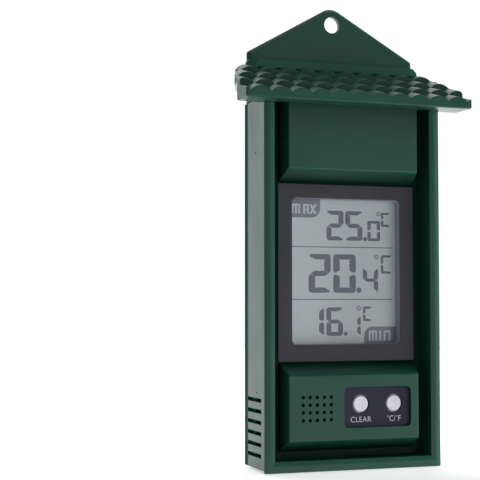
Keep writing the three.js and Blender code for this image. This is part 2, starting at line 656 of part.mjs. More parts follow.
// ---- battery bay ----------------------------------------------------------------------------
function batteryDoor() {
  const half = DOOR.half - GAP;
  const [low, high] = [BAY.z - DOOR.halfHeight + GAP, BAY.z + DOOR.halfHeight - GAP];
  const front = GAP - DOOR.recess;
  const plate = slab(roundedRect(-half, half, low, high, 0.8), front, front + DOOR.thickness, 2);
  const { half: gripHalf, z, pitch, depth, halfHeight } = GRIP;
  const grips = [-1.5, -0.5, 0.5, 1.5].map((i) => {
    const middle = low + z + i * pitch;
    return box(-gripHalf, gripHalf, -depth, PAST, middle - halfHeight, middle + halfHeight);
  });
  const slit = { x: gripHalf + 2, half: 0.4, height: 9 };
  const latchSlits = [-slit.x, slit.x].map((x) => (
    box(x - slit.half, x + slit.half, -WALL - PAST, PAST, low - PAST, low + slit.height)
  ));
  return part('battery_door', cut(plate, [...grips, ...latchSlits]), GREEN, 0.45);
}

function cell() {
  const { radius, length, nub, nubLength } = CELL;
  const profile = [
    [0, 0], [radius - 0.6, 0], [radius, 0.5], [radius, length - nubLength - 0.5],
    [radius - 0.5, length - nubLength], [nub, length - nubLength], [nub, length], [0, length],
  ];
  const mesh = part('aaa_cell', lathe(profile, 24), SLEEVE_GREY, 0.35, 0.3);
  mesh.position.set(CELL.x, CELL.y, BAY.z);
  mesh.rotation.z = -Math.PI / 2;
  return mesh;
}

// Flat tag of a contact: a plate across the end of the bay with a solder tail through the floor.
function contactTag(x) {
  const half = CONTACT.thickness / 2;
  const { halfWidth, tailHalf, tail } = CONTACT;
  const tailEnd = BAY.depth - BAY.wall - tail;
  const plateFront = BAY.depth + GAP;
  const plateBack = -DOOR.recess - 2 * GAP;
  const plate = box(x - half, x + half, plateFront, plateBack, BAY.z - halfWidth, BAY.z + halfWidth);
  const tab = box(x - half, x + half, tailEnd, plateFront + MERGE, BAY.z - tailHalf, BAY.z + tailHalf);
  return plate.add(tab);
}

function springContact() {
  const { turns, wire, base, tip, length } = SPRING;
  const x = -CONTACT.x;
  const steps = turns * 10;
  const points = [];
  for (let i = 0; i <= steps; i += 1) {
    const t = i / steps;
    const angle = t * turns * Math.PI * 2;
    const r = base + (tip - base) * t;
    points.push([x + wire + t * length, CELL.y + r * Math.cos(angle), BAY.z + r * Math.sin(angle)]);
  }
  const coil = tube(points, wire, turns * 14, 5);
  return part('spring_contact', contactTag(x).add(coil), STEEL, 0.3, 0.9);
}

function plateContact() {
  const x = CONTACT.x;
  const bump = new THREE.CylinderGeometry(1.8, 2.6, 1, 16);
  bump.rotateZ(Math.PI / 2);
  bump.translate(x - 0.6, CELL.y, BAY.z);
  return part('plate_contact', contactTag(x).add(toSolid(bump)), STEEL, 0.3, 0.9);
}

// Insulated lead from a contact's tail down to the front of the circuit board.
function lead(name, side, color) {
  const tail = BAY.depth - BAY.wall - CONTACT.tail - LEAD_RADIUS - GAP;
  const points = [
    [side * CONTACT.x, tail, BAY.z - 1], [side * (CONTACT.x - 0.1), tail - 0.5, BAY.z - 6],
    [side * 24, -16.5, 158], [side * 21.5, -14.5, 152.5], [side * 20, -12, 148],
  ];
  return part(name, tube(points, LEAD_RADIUS, 14, 6), color, 0.5);
}

// ---- screws ---------------------------------------------------------------------------------
// Cross-head screw whose head faces the wall (+Y); y is the underside of the head.
function screw(name, x, y, z, { head, headHeight, shank, length }) {
  const profile = [
    [0, -length], [shank * 0.5, -length], [shank, shank - length], [shank, 0], [head, 0],
    [head, headHeight * 0.6], [head * 0.7, headHeight], [0, headHeight],
  ];
  const arm = head * 0.6;
  const half = 0.3;
  const floor = headHeight * 0.45;
  const cross = [
    box(-arm, arm, floor, headHeight + PAST, -half, half),
    box(-half, half, floor, headHeight + PAST, -arm, arm),
  ];
  const mesh = part(name, cut(lathe(profile, 12), cross), STEEL, 0.3, 0.9);
  mesh.position.set(x, y, z);
  return mesh;
}

function screws() {
  const places = [
    ['case', CASE_SCREW.x, CASE_SCREW.seat + SOLDER_GAP, CASE_SCREW.z],
    ['roof', ROOF_SCREW.x, ROOF_SCREW.seat + SOLDER_GAP, [ROOF_SCREW.z]],
    ['board', BOARD_SCREW.x, BOARD_BACK + SOLDER_GAP, BOARD_SCREW.z],
  ];
  return places.flatMap(([kind, x, y, zs]) => {
    const points = zs.flatMap((z) => [[-x, z], [x, z]]);
    return points.map(([px, z], i) => screw(`${kind}_screw_${i + 1}`, px, y, z, SCREW[kind]));
  });
}

// ---- assembly -------------------------------------------------------------------------------
const housing = new THREE.Group();
housing.add(frontCase(), rearCover(), roof());

const front = new THREE.Group();
front.add(...display(), buttonLabel());
front.add(button('clear_button', BUTTON.x[0]), button('unit_button', BUTTON.x[1]));

const electronics = new THREE.Group();
electronics.add(board(), chip(), crystal(), sensor());
electronics.add(...tactSwitch('clear', BUTTON.x[0]), ...tactSwitch('unit', BUTTON.x[1]));

const battery = new THREE.Group();
battery.add(batteryDoor(), cell(), springContact(), plateContact());
battery.add(lead('positive_lead', 1, RED), lead('negative_lead', -1, BLACK));

const fasteners = new THREE.Group();
fasteners.add(...screws());

const thermometer = new THREE.Group();
thermometer.add(housing, front, electronics, battery, fasteners);
thermometer.position.y = DEPTH / 2;

export default thermometer;
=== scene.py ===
import json
import math

import bmesh
import bpy
from mathutils import Matrix, Vector


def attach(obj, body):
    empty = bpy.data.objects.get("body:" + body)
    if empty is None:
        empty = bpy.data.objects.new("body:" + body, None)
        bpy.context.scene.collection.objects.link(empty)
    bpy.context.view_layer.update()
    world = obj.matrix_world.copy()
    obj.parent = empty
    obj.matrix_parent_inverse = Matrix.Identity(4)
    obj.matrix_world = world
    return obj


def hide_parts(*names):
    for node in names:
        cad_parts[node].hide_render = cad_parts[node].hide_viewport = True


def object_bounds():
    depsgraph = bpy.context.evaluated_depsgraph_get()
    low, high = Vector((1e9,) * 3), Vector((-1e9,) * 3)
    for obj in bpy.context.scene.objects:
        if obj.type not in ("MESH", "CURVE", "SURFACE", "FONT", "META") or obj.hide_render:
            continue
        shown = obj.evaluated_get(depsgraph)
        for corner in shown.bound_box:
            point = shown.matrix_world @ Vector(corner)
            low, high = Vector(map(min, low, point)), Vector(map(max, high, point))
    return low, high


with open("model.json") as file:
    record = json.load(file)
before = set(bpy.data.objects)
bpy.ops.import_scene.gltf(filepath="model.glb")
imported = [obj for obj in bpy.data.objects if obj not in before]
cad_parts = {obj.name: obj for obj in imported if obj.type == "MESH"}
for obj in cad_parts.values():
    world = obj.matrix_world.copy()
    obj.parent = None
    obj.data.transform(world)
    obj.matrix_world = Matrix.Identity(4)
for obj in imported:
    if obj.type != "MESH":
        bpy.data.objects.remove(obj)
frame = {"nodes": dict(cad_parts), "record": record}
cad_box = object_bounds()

# Shapes are drawn in millimetres with the wall at y = 0 and the display facing -Y, as the CAD is
# drawn; place() then carries a finished mesh into the row frame. A box is (x0, x1, z0, z1).
MM = 0.001
WALL_Y = cad_box[1].y
DEPTH = (cad_box[1].y - cad_box[0].y) / MM

GAP = 0.3
WALL = 2.0
PAST = 1.0
MERGE = 0.5
CORNER_STEPS = 5
TAU = math.tau


def centred(half, z0, z1):
    return (-half, half, z0, z1)


def grown(box, by):
    """A box with its four sides moved outwards, or inwards where the distance is negative."""
    x0, x1, z0, z1 = box
    return (x0 - by, x1 + by, z0 - by, z1 + by)


# case
FRAME_HALF = 50.0
SIDE_HALF = 49.7
CASE_BOTTOM = 1.0
CASE_TOP = 193.0
CASE_BOX = centred(SIDE_HALF, CASE_BOTTOM, CASE_TOP)
FRONT = -32.0
LIP = 1.7
FLOOR_Y = -21.1
SPLIT = -5.0
STILE = 5.7
RAIL = 5.8
FRAME_CROWN = {
    "outer": ((0.0, 1.15), (0.08, 0.98), (0.4, 0.78), (2.2, 0.16), (2.6, 0.04), (3.0, 0.0)),  # (in, deep)
    "inner": 2.1, "inner_depth": 0.65,
}
PAD_HALF, PAD_FOOT_HALF = 36.7, 39.0
UPPER_PAD = (centred(PAD_HALF, 156.1, CASE_TOP - WALL), centred(PAD_FOOT_HALF, 149.6, CASE_TOP - WALL))
LOWER_PAD = (centred(PAD_HALF, 15.8, 49.3), centred(PAD_FOOT_HALF, 9.6, 55.6))
PAD_ROUND = 0.55
VENT = {"count": 6, "first": 8.1, "pitch": 5.68, "height": 2.04, "end": -25.5, "r": 0.35}
AIR_HOLE = {"columns": 5, "rows": 4, "pitch": 3.9, "r": 0.95, "flare": 0.14, "x": -21.35, "z": 32.25}
PIT = {"at": ((-17.2, 165.0), (-18.9, 40.3)), "r": 0.55, "depth": 0.9}  # (y, z) in each side wall
CASE_SCREW = {"x": 42.0, "z": (9.0, 184.0), "seat": -4.0, "post": 3.5, "pilot": 1.65, "end": -7.3}
ROOF_SCREW = {"x": 30.0, "z": (202.0,), "seat": -1.7, "post": 3.5, "pilot": 1.65, "end": -15.0}
BOARD_SCREW = {"x": 38.5, "z": (58.5, 146.0), "post": 2.8, "pilot": 1.2, "end": -11.3}
SCREW_HOLE = {"shank": 1.6, "head": 3.1, "boss": 4.6, "boss_end": -7.0}

# button panel
LABEL_BOX = (-6.2, 32.2, 21.9, 42.8)
LABEL = {"r": 2.6, "recess": 2.65, "thick": 0.45, "inset": 0.2}
BUTTON = {
    "x": (4.0, 23.1), "z": 33.95, "r": 4.5, "cap_r": 4.15, "front": -30.1,
    "flange": 5.8, "flange_thick": 1.2, "plunger": 2.2, "plunger_end": -16.3,
}
PANEL_BACK = -28.3
PANEL_MARGIN = 2.0
COLLAR = {"inner": 6.1, "outer": 7.4, "end": -22.0}
WORDS = (  # text, name, box, change of stroke
    ("CLEAR", "label_clear_letters", (-1.6, 10.0, 24.5, 27.3), -0.02),
    ("°C/°F", "label_unit_letters", (19.3, 27.0, 24.6, 27.6), -0.016),
)

# display
BEZEL_BOX = centred(39.0, 56.0, 149.0)
BEZEL = {"front": -22.1, "thick": 0.7}
WINDOW_BOX = centred(31.1, 64.7, 141.7)
WINDOW_R = 2.6
COLLAR_OUT, COLLAR_BACK = 2.1, -17.1
LCD_BOX = centred(32.6, 62.9, 142.9)
LCD_FRONT, LCD_BACK = -15.7, -13.5
LCD_END = 29.8  # where the dividing lines end and the border on the right starts
LINES = {"z": (116.3, 88.45), "half": 0.25}
TAB = {"max": (-12.6, 131.8), "min": (12.7, 73.9), "r": 5.0, "margin": 0.4}
LCD_ROWS = (
    {"bar": 2.25, "upright": 2.9, "thin": 1.5, "z": (119.9, 135.8), "dot": (13.5, 120.9),
     "digits": (("2", -9.0, 0.9), ("5", 1.9, 12.0)), "tenths": ("0", 14.9, 22.5, 119.9, 130.8),
     "degree": (21.5, 134.6), "unit": (23.0, 28.4, 127.7, 135.4)},
    {"bar": 2.8, "upright": 3.8, "thin": 1.9, "z": (91.95, 112.5), "dot": (9.8, 93.4),
     "digits": (("2", -19.4, -6.6), ("0", -5.2, 8.0)), "tenths": ("4", 12.1, 21.1, 92.2, 105.4),
     "degree": (20.1, 111.4), "unit": (22.8, 29.3, 102.4, 112.3)},
    {"bar": 2.1, "upright": 2.8, "thin": 1.5, "z": (69.1, 84.2), "dot": (2.0, 70.2),
     "digits": (("1", -19.0, -10.6), ("6", -9.2, 0.3)), "tenths": ("1", 4.6, 10.7, 69.1, 79.6),
     "degree": (9.55, 83.7), "unit": (12.1, 17.2, 76.8, 84.6)},
)
DOT_R = 0.52  # of the row's bar
DEGREE_R = (1.25, 0.72)
UNIT_STROKE = {"across": 1.25, "upright": 1.5, "gap": 0.2}
MAX_LETTERS, MIN_LETTERS = (133.8, 139.0), (66.4, 71.7)

# rear cover
COVER = {"plate": 2.4, "gable": 3.2, "lap_end": -11.0, "lap_outer": 47.4, "lap_thick": 1.5}
EDGE = {"back": -3.3, "draft": 0.75}  # drafted edge of the cover's back plate
GABLE = {"half": 48.8, "apex": 249.25, "slope": 0.572, "corner": 1.6, "apex_r": 9.0, "bevel": 1.9}
HANG_HOLE = {"z": 238.9, "r": 4.4}
BAY = {"z": 170.0, "depth": -13.6, "wall": 1.6}
BAY_BOX = centred(26.0, BAY["z"] - 6.5, BAY["z"] + 6.5)
DOOR_BOX = centred(31.0, BAY["z"] - 10.0, BAY["z"] + 10.0)
DOOR_RECESS = 2.0
CONTACT = {"x": 25.45, "half": 0.75, "half_height": 2.6}

# roof
TILE = {
    "pitch": 11.15, "rise": 2.4, "slope": 0.27, "steps": 14, "rim": 0.55, "end_r": 1.4, "foot_r": 0.9,
}
ROWS = (
    {"y": -12.55, "crest": 211.63, "offset": 0.0, "tiles": 10},
    {"y": -22.75, "crest": 206.43, "offset": 0.5, "tiles": 11},
    {"y": -33.0, "crest": 201.23, "offset": 0.0, "tiles": 14},
    {"y": -43.3, "crest": 196.03, "offset": 0.5, "tiles": 14},
)
ROOF = {"half": 63.9, "soffit": 190.0, "thick": 1.8, "spare": 1.5, "back": -3.5, "wing_back": -26.7}
HIP = {"front": -24.5, "back_half": 55.9, "underside": 199.3}
RIDGE = {
    "half": 50.6, "front": -6.8, "z0": 212.6, "z1": 217.3, "cut": 2.4, "mitre": 4.2, "mitre_depth": 1.8,
}

# painted shade and light that the mouldings take by place: millimetres, and shares of the plastic's own
# colour
# painted shade: the well between the uprights darkens towards its floor, to this share of the plastic's
# colour
WELL_SHADE = {"half": FRAME_HALF - STILE - 0.05, "front": FRONT + 1.0, "floor": FLOOR_Y - 1.5, "tone": 0.25}
# painted shadow of the eaves over the top of the upper pad, down to this share
EAVES_SHADE = {"z": (168.0, 188.0), "tone": 0.4}
# painted light: the cover's rim and, paler still, its lap seen through the vent slots
COVER_RIM_LIGHT = {"x": 46.8, "lap_x": 47.8, "top": (195.0, 200.0), "tone": 1.35, "lap_tone": 2.2}
# painted shade: the tile rows' front faces above the fascia, at this share of the plastic's colour
TILE_FRONT_SHADE = {"behind": ROWS[3]["y"] + 1.0, "below": 211.0, "tone": 0.55}

# studio, in metres
FLOOR_Z = -0.0002
FLOOR_RADIUS = 1.6
STUDIO = {
    "table_glow": (0.0, 0.95), "table_from": (-0.12, 0.12),
    "behind": (0.40, 0.82, 0.10, 1.12), "left_gain": (-0.2, 0.1, 1.35, 1.0),
    "card_at": (0.42, -0.9, 0.0), "card": (0.5, 0.95, 0.02, 0.62), "card_top": (-0.05, 0.35, 1.0, 0.3),
}
DIFFUSE_ONLY = {"visible_glossy": False}
GLOSS_ONLY = {"visible_camera": False, "visible_diffuse": False}
SOFTBOXES = (  # name, place, target, width, height, watts, what it is hidden from
    ("key_right", (0.9, -0.08, 0.08), (0, 0, 0.1), 0.5, 0.5, 18.0, DIFFUSE_ONLY),
    ("fill_front", (0.5, -0.62, 0.03), (0, 0, 0.1), 0.4, 0.3, 1.0, DIFFUSE_ONLY),
    ("fill_top", (-0.1, -0.15, 1.2), (0, 0, 0.1), 0.5, 0.5, 3.2, DIFFUSE_ONLY),
    ("fill_left", (-0.25, -0.75, 0.1), (0, 0, 0.1), 0.4, 0.3, 0.7, DIFFUSE_ONLY),
    ("card_behind", (0.55, 0.75, 0.08), (0.05, 0, 0.15), 0.8, 0.3, 3.0, GLOSS_ONLY),
    ("back_top", (0.0, 1.0, 1.3), (0, 0.3, 0), 1.8, 1.8, 10.0, {}),
)
CAMERA = {
    "at": (-0.27, WALL_Y - 0.62791, 0.08723), "tilt": 2.83, "turn": -19.12, "lens": 93.57, "sensor": 36.0,
}


# ---- mesh tools ----
def link(name, data):
    obj = bpy.data.objects.new(name, data)
    bpy.context.scene.collection.objects.link(obj)
    return obj


def mesh_of(name, points, faces):
    mesh = bpy.data.meshes.new(name)
    mesh.from_pydata(points, [], faces)
    return mesh


def reworked(mesh, *steps):
    """Runs bmesh steps, each a function of the bmesh, on a mesh."""
    bm = bmesh.new()
    bm.from_mesh(mesh)
    for step in steps:
        step(bm)
    bm.to_mesh(mesh)
    bm.free()
    return mesh


def face_outwards(bm):
    bmesh.ops.recalc_face_normals(bm, faces=bm.faces)


def loft(rings, closed=False):
    """A solid through rings of 3-D points; its ends are capped, or joined where it is closed."""
    count = len(rings[0])
    points = [p for ring in rings for p in ring]
    total = len(points)
    faces = []
    spans = len(rings) if closed else len(rings) - 1
    for k in range(spans):
        for i in range(count):
            j = (i + 1) % count
            a, b = k * count, ((k + 1) * count) % total
            faces.append((a + i, a + j, b + j, b + i))
    if not closed:
        faces.append(tuple(range(count)))
        faces.append(tuple(range(total - 1, total - count - 1, -1)))
    return link("solid", reworked(mesh_of("solid", points, faces), face_outwards))


def arc(cx, cy, r, start, end, steps):
    turns = [math.radians(start + (end - start) * k / steps) for k in range(steps + 1)]
    return [(cx + r * math.cos(t), cy + r * math.sin(t)) for t in turns]


def quarter(steps):
    """(sine, one minus cosine) of each step of a quarter turn after its start."""
    turns = [math.radians(90 * k / steps) for k in range(1, steps + 1)]
    return [(math.sin(t), 1 - math.cos(t)) for t in turns]


def rounded_rect(x0, x1, z0, z1, r, steps=CORNER_STEPS):
    r = max(r, 0.02)
    points = []
    for cx, cz, start in (
        (x1 - r, z0 + r, -90), (x1 - r, z1 - r, 0), (x0 + r, z1 - r, 90), (x0 + r, z0 + r, 180),
    ):
        points += arc(cx, cz, r, start, start + 90, steps)
    return points


def filleted(corners, steps=5):
    """A polygon whose corners, (a, b, radius), are rounded."""
    points = []
    for k, (a, b, r) in enumerate(corners):
        if r <= 0:
            points.append((a, b))
            continue
        here = Vector((a, b))
        before = (Vector(corners[k - 1][:2]) - here).normalized()
        after = (Vector(corners[(k + 1) % len(corners)][:2]) - here).normalized()
        half = before.angle(after) / 2
        centre = here + (before + after).normalized() * (r / math.sin(half))
        p0 = here + before * (r / math.tan(half)) - centre
        p1 = here + after * (r / math.tan(half)) - centre
        sweep = math.atan2(p0.x * p1.y - p0.y * p1.x, p0.dot(p1))
        for i in range(steps + 1):
            t = sweep * i / steps
            c, s = math.cos(t), math.sin(t)
            points.append((centre.x + p0.x * c - p0.y * s, centre.y + p0.x * s + p0.y * c))
    return points


def at_x(outline, x):
    return [(x, y, z) for y, z in outline]


def at_y(outline, y):
    return [(x, y, z) for x, z in outline]


def at_z(outline, z):
    return [(x, y, z) for x, y in outline]


def rect_loft(rings, closed=False, steps=CORNER_STEPS):
    """Rounded rectangles in depth: each ring is (x0, x1, z0, z1, corner radius, y)."""
    return loft([at_y(rounded_rect(*ring[:5], steps=steps), ring[5]) for ring in rings], closed)


def block(box, y0, y1, r=0.0):
    """A block along Y whose four long edges have radius r and whose end edges are eased."""
    ease = min(0.12, r * 0.5)
    if not ease:
        return rect_loft([(*box, r, y0), (*box, r, y1)], steps=1)
    end = grown(box, -ease)
    return rect_loft([(*end, r, y0), (*box, r, y0 + ease), (*box, r, y1 - ease), (*end, r, y1)], steps=3)


def circle(x, z, r, sides):
    return [(x + r * math.cos(TAU * k / sides), z + r * math.sin(TAU * k / sides)) for k in range(sides)]


def turned(x, z, profile, sides=48):
    """A solid of revolution about a line along Y; profile is (radius, y) from front to back."""
    return loft([at_y(circle(x, z, max(r, 0.01), sides), y) for r, y in profile])


def joined(objects):
    """Several separate solids as one mesh."""
    bm = bmesh.new()
    for obj in objects:
        bm.from_mesh(obj.data)
    mesh = bpy.data.meshes.new("joined")
    bm.to_mesh(mesh)
    bm.free()
    for obj in objects:
        bpy.data.objects.remove(obj)
    return link("joined", mesh)


def pins(spec, profile, sides=20):
    """The same turned solid at each of a screw's places, on the left and on the right."""
    places = [(x, z) for z in spec["z"] for x in (-spec["x"], spec["x"])]
    return joined([turned(x, z, profile, sides) for x, z in places])


def at_buttons(profile, sides=48):
    return joined([turned(x, BUTTON["z"], profile, sides) for x in BUTTON["x"]])


def plates(outlines, y0, y1):
    return joined([loft([at_y(o, y0), at_y(o, y1)]) for o in outlines])


def modify(obj, kind, **settings):
    modifier = obj.modifiers.new(kind.lower(), kind)
    for name, value in settings.items():
        setattr(modifier, name, value)
    return modifier


def evaluated(obj):
    graph = bpy.context.evaluated_depsgraph_get()
    return bpy.data.meshes.new_from_object(obj.evaluated_get(graph))


def combine(base, tool, operation):
    modifier = modify(base, "BOOLEAN", operation=operation, solver="MANIFOLD", object=tool)
    mesh = evaluated(base)
    base.modifiers.remove(modifier)
    base.data = mesh
    bpy.data.objects.remove(tool)
    return base


def cut(base, tool):
    return combine(base, tool, "DIFFERENCE")


def add(base, tool):
    return combine(base, tool, "UNION")


def clean(obj, angle=0.3):
    def merge(bm):
        bmesh.ops.remove_doubles(bm, verts=bm.verts, dist=0.0005)

    def flatten(bm):
        bmesh.ops.dissolve_limit(bm, angle_limit=math.radians(angle), verts=bm.verts, edges=bm.edges)

    reworked(obj.data, merge, flatten)
    return obj


def place(obj, name, body, material, nodes=(), angle=28, weighted=True):
    """Carries a mesh from millimetres into the row frame and registers it as a piece."""
    obj.name = name
    obj.data.name = name
    obj.data.transform(Matrix.Translation((0, WALL_Y, 0)) @ Matrix.Scale(MM, 4))
    obj.data.polygons.foreach_set("use_smooth", [True] * len(obj.data.polygons))
    obj.data.set_sharp_from_angle(angle=math.radians(angle))
    obj.data.materials.clear()
    obj.data.materials.append(material)
    if weighted:
        modify(obj, "WEIGHTED_NORMAL", keep_sharp=True, weight=90)
    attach(obj, body)
    if nodes:
        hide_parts(*nodes)
    return obj


def place_print(obj, name, material):
    """Registers thin flat shapes, which keep their sharp edges."""
    return place(obj, name, "case", material, angle=20, weighted=False)


# ---- materials ----
def tinted(color, factor):
    return tuple(min(1.0, c * factor) for c in color)


def rgba(value):
    return (*value, 1) if isinstance(value, tuple) else value


class Nodes:
    """A node tree with one shader in it, and the sums that lead to the shader's inputs."""

    def __init__(self, owner, shader, coordinates):
        owner.use_nodes = True
        self.nodes, self.links = owner.node_tree.nodes, owner.node_tree.links
        self.shader = self.nodes[shader]
        self.coords = self.nodes.new("ShaderNodeTexCoord").outputs[coordinates]

    def feed(self, socket, value):
        """Links a socket to another one, or sets its value."""
        if isinstance(value, bpy.types.NodeSocket):
            self.links.new(value, socket)
        else:
            socket.default_value = value

    def drive(self, name, value):
        self.feed(self.shader.inputs[name], value)

    def node(self, kind, **inputs):
        node = self.nodes.new(kind)
        for key, value in inputs.items():
            self.feed(node.inputs[key.replace("_", " ")], value)
        return node

    def spread(self, value, low, high, from_low=0.3, from_high=0.7, smooth=False):
        node = self.node("ShaderNodeMapRange", Value=value, From_Min=from_low, From_Max=from_high,
                         To_Min=low, To_Max=high)
        node.interpolation_type = "SMOOTHSTEP" if smooth else "LINEAR"
        return node.outputs["Result"]

    def math(self, operation, a, b=0.0, clamp=True):
        node = self.nodes.new("ShaderNodeMath")
        node.operation, node.use_clamp = operation, clamp
        self.feed(node.inputs[0], a)
        self.feed(node.inputs[1], b)
        return node.outputs[0]

    def dot(self, a, b):
        node = self.nodes.new("ShaderNodeVectorMath")
        node.operation = "DOT_PRODUCT"
        self.feed(node.inputs[0], a)
        self.feed(node.inputs[1], b)
        return node.outputs["Value"]


class Look(Nodes):
    """A material built up step by step round one Principled shader."""

    def __init__(self, name, color, roughness, metallic=0.0, ior=1.5, specular=0.5):
        self.material = bpy.data.materials.new(name)
        super().__init__(self.material, "Principled BSDF", "Object")
        self.color, self.specular, self.bump_socket = color, specular, None
        for socket, value in (("Base Color", (*color, 1)), ("Roughness", roughness), ("Metallic", metallic),
                              ("IOR", ior), ("Specular IOR Level", specular)):
            self.drive(socket, value)

    def geometry(self, output):
        return self.nodes.new("ShaderNodeNewGeometry").outputs[output]

    def stretched(self, scale):
        return self.node("ShaderNodeMapping", Vector=self.coords, Scale=scale).outputs["Vector"]

    def axes(self, vector=None):
        return self.node("ShaderNodeSeparateXYZ", Vector=vector or self.coords).outputs

    def noise(self, scale, detail=3.0, vector=None):
        vector = vector or self.coords
        node = self.node("ShaderNodeTexNoise", Vector=vector, Scale=scale, Detail=detail, Roughness=0.55)
        return node.outputs["Fac"]

    def ramp(self, value, stops):
        node = self.node("ShaderNodeValToRGB", Fac=value)
        elements = node.color_ramp.elements
        for element, (position, color) in zip(elements, (stops[0], stops[-1])):
            element.position, element.color = position, (*color, 1)
        for position, color in stops[1:-1]:
            elements.new(position).color = (*color, 1)
        return node.outputs["Color"]

    def mix(self, factor, a, b):
        node = self.nodes.new("ShaderNodeMix")
        node.data_type = "RGBA"
        sockets = [s for s in node.inputs if s.type == "RGBA"]
        self.feed(node.inputs[0], factor)
        self.feed(sockets[0], rgba(a))
        self.feed(sockets[1], rgba(b))
        return [s for s in node.outputs if s.type == "RGBA"][0]

    def tones(self, value, low, high):
        """The look's own colour, from a darker tone of it to a lighter one."""
        return self.ramp(value, [(0.3, tinted(self.color, low)), (0.7, tinted(self.color, high))])

    def edges(self, radius=0.0004, low=0.02, high=0.25):
        """1 on worn edges and 0 on flat faces: how far a rounded normal leaves the true one."""
        bevel = self.node("ShaderNodeBevel", Radius=radius)
        bevel.samples = 4
        turn = self.math("SUBTRACT", 1.0, self.dot(bevel.outputs["Normal"], self.geometry("Normal")))
        return self.spread(turn, 0.0, 1.0, low, high)

    def bump(self, height, strength, distance):
        node = self.node("ShaderNodeBump", Height=height, Strength=strength, Distance=distance)
        if self.bump_socket is not None:
            self.links.new(self.bump_socket, node.inputs["Normal"])
        self.bump_socket = node.outputs["Normal"]
        self.drive("Normal", self.bump_socket)


def painted_well_shade(look, base):
    """Painted shade: darker and less glossy towards the floor between the two uprights, and a painted shadow
    under the eaves.
    """
    x, y, z = look.axes()
    half, front, floor = WELL_SHADE["half"] * MM, WELL_SHADE["front"] * MM + WALL_Y, WELL_SHADE["floor"] * MM + WALL_Y
    outside = look.spread(look.math("ABSOLUTE", x), 0.0, 1.0, half, half + 0.1 * MM)
    depth = look.spread(y, 1.0, 0.0, front, floor)
    shade = look.spread(z, 1.0, EAVES_SHADE["tone"], EAVES_SHADE["z"][0] * MM, EAVES_SHADE["z"][1] * MM)
    open_share = look.math("MAXIMUM", outside, look.math("MULTIPLY", depth, shade))
    look.drive("Specular IOR Level", look.spread(open_share, 0.1, look.specular, 0.0, 0.55))
    return look.mix(open_share, tinted(look.color, WELL_SHADE["tone"]), base)


def painted_tile_front_shade(look, base):
    """Painted shade: darker front faces on the tile rows above the fascia."""
    _, y, z = look.axes()
    behind, below = TILE_FRONT_SHADE["behind"] * MM + WALL_Y, TILE_FRONT_SHADE["below"] * MM
    fronts = look.math(
        "MULTIPLY", look.spread(look.axes(look.geometry("True Normal"))["Y"], 1.0, 0.0, -0.97, -0.9),
        look.spread(y, 0.0, 1.0, behind, behind + 0.2 * MM),
    )
    fronts = look.math("MULTIPLY", fronts, look.spread(z, 1.0, 0.0, below - 0.2 * MM, below + 0.2 * MM))
    return look.mix(fronts, base, tinted(look.color, TILE_FRONT_SHADE["tone"]))


def cover_rim_painted_light(look, base):
    """A matt rim on the cover below the roof, painted a little paler than the cover, and paler still on its
    lap where the vent slots show it: both are painted light.
    """
    x, _, z = look.axes()
    side = look.math("ABSOLUTE", x)
    rim, lap_x = COVER_RIM_LIGHT["x"] * MM, COVER_RIM_LIGHT["lap_x"] * MM
    low = look.spread(z, 1.0, 0.0, COVER_RIM_LIGHT["top"][0] * MM, COVER_RIM_LIGHT["top"][1] * MM)
    matt = look.math("MULTIPLY", look.spread(side, 0.0, 1.0, rim, rim + 0.2 * MM), low)
    lap = look.spread(side, 1.0, 0.0, lap_x, lap_x + 0.5 * MM)
    look.drive("Specular IOR Level", look.spread(matt, look.specular, 0.02, 0.0, 1.0))
    rim_light_color, lap_light_color = tinted(look.color, COVER_RIM_LIGHT["tone"]), tinted(look.color, COVER_RIM_LIGHT["lap_tone"])
    return look.mix(matt, base, look.mix(lap, rim_light_color, lap_light_color))


def moulded(name, color, roughness, grain=0.06, worn=None, specular=0.5, cloud=0.10, tone=None):
    """Moulded plastic: spark-eroded grain, faint flow clouds, satin patches and paler edges, and painted
    shade and light by place where a tone step is given.
    """
    look = Look(name, color, roughness, specular=specular)
    base = look.ramp(look.noise(24.0, 4.0), [
        (0.3, tinted(color, 1 - cloud)), (0.5, color), (0.72, tinted(color, 1 + cloud)),
    ])
    specks = look.spread(look.noise(1900.0, 1.0), 0.0, 0.35, 0.66, 0.8)
    base = look.mix(specks, base, tinted(color, 1.5))
    if worn:
        rub = look.math("MULTIPLY", look.edges(), look.spread(look.noise(140.0), 0.15, 0.75))
        base = look.mix(rub, base, worn)
    # a tone step paints shade and light into the colour by place
    if tone:
        base = tone(look, base)
    look.drive("Base Color", base)
    patches = look.noise(60.0, 5.0, look.stretched((1, 1, 0.35)))
    look.drive("Roughness", look.spread(patches, roughness - 0.05, roughness + 0.07))
    look.bump(look.noise(1500.0, 2.0), grain, 0.00012)
    look.bump(look.noise(90.0, 2.0), grain * 0.6, 0.0004)
    return look.material


def film(name, color, roughness, specular=0.5):
    """Printed film: a fine stipple in its gloss and a slight lengthwise drift in its colour."""
    look = Look(name, color, roughness, specular=specular)
    drift = look.noise(30.0, vector=look.stretched((1, 1, 3)))
    look.drive("Base Color", look.tones(drift, 0.9, 1.12))
    look.drive("Roughness", look.spread(look.noise(2600.0, 1.0), roughness - 0.06, roughness + 0.08))
    look.bump(look.noise(2600.0, 1.0), 0.04, 0.00006)
    return look.material


def metal(name, color, roughness, brushed=(1, 1, 12)):
    look = Look(name, color, roughness, metallic=1.0)
    streaks = look.noise(420.0, 4.0, look.stretched(brushed))
    look.drive("Base Color", look.tones(streaks, 0.82, 1.08))
    look.drive("Roughness", look.spread(streaks, roughness - 0.06, roughness + 0.14))
    look.bump(streaks, 0.08, 0.00005)
    return look.material


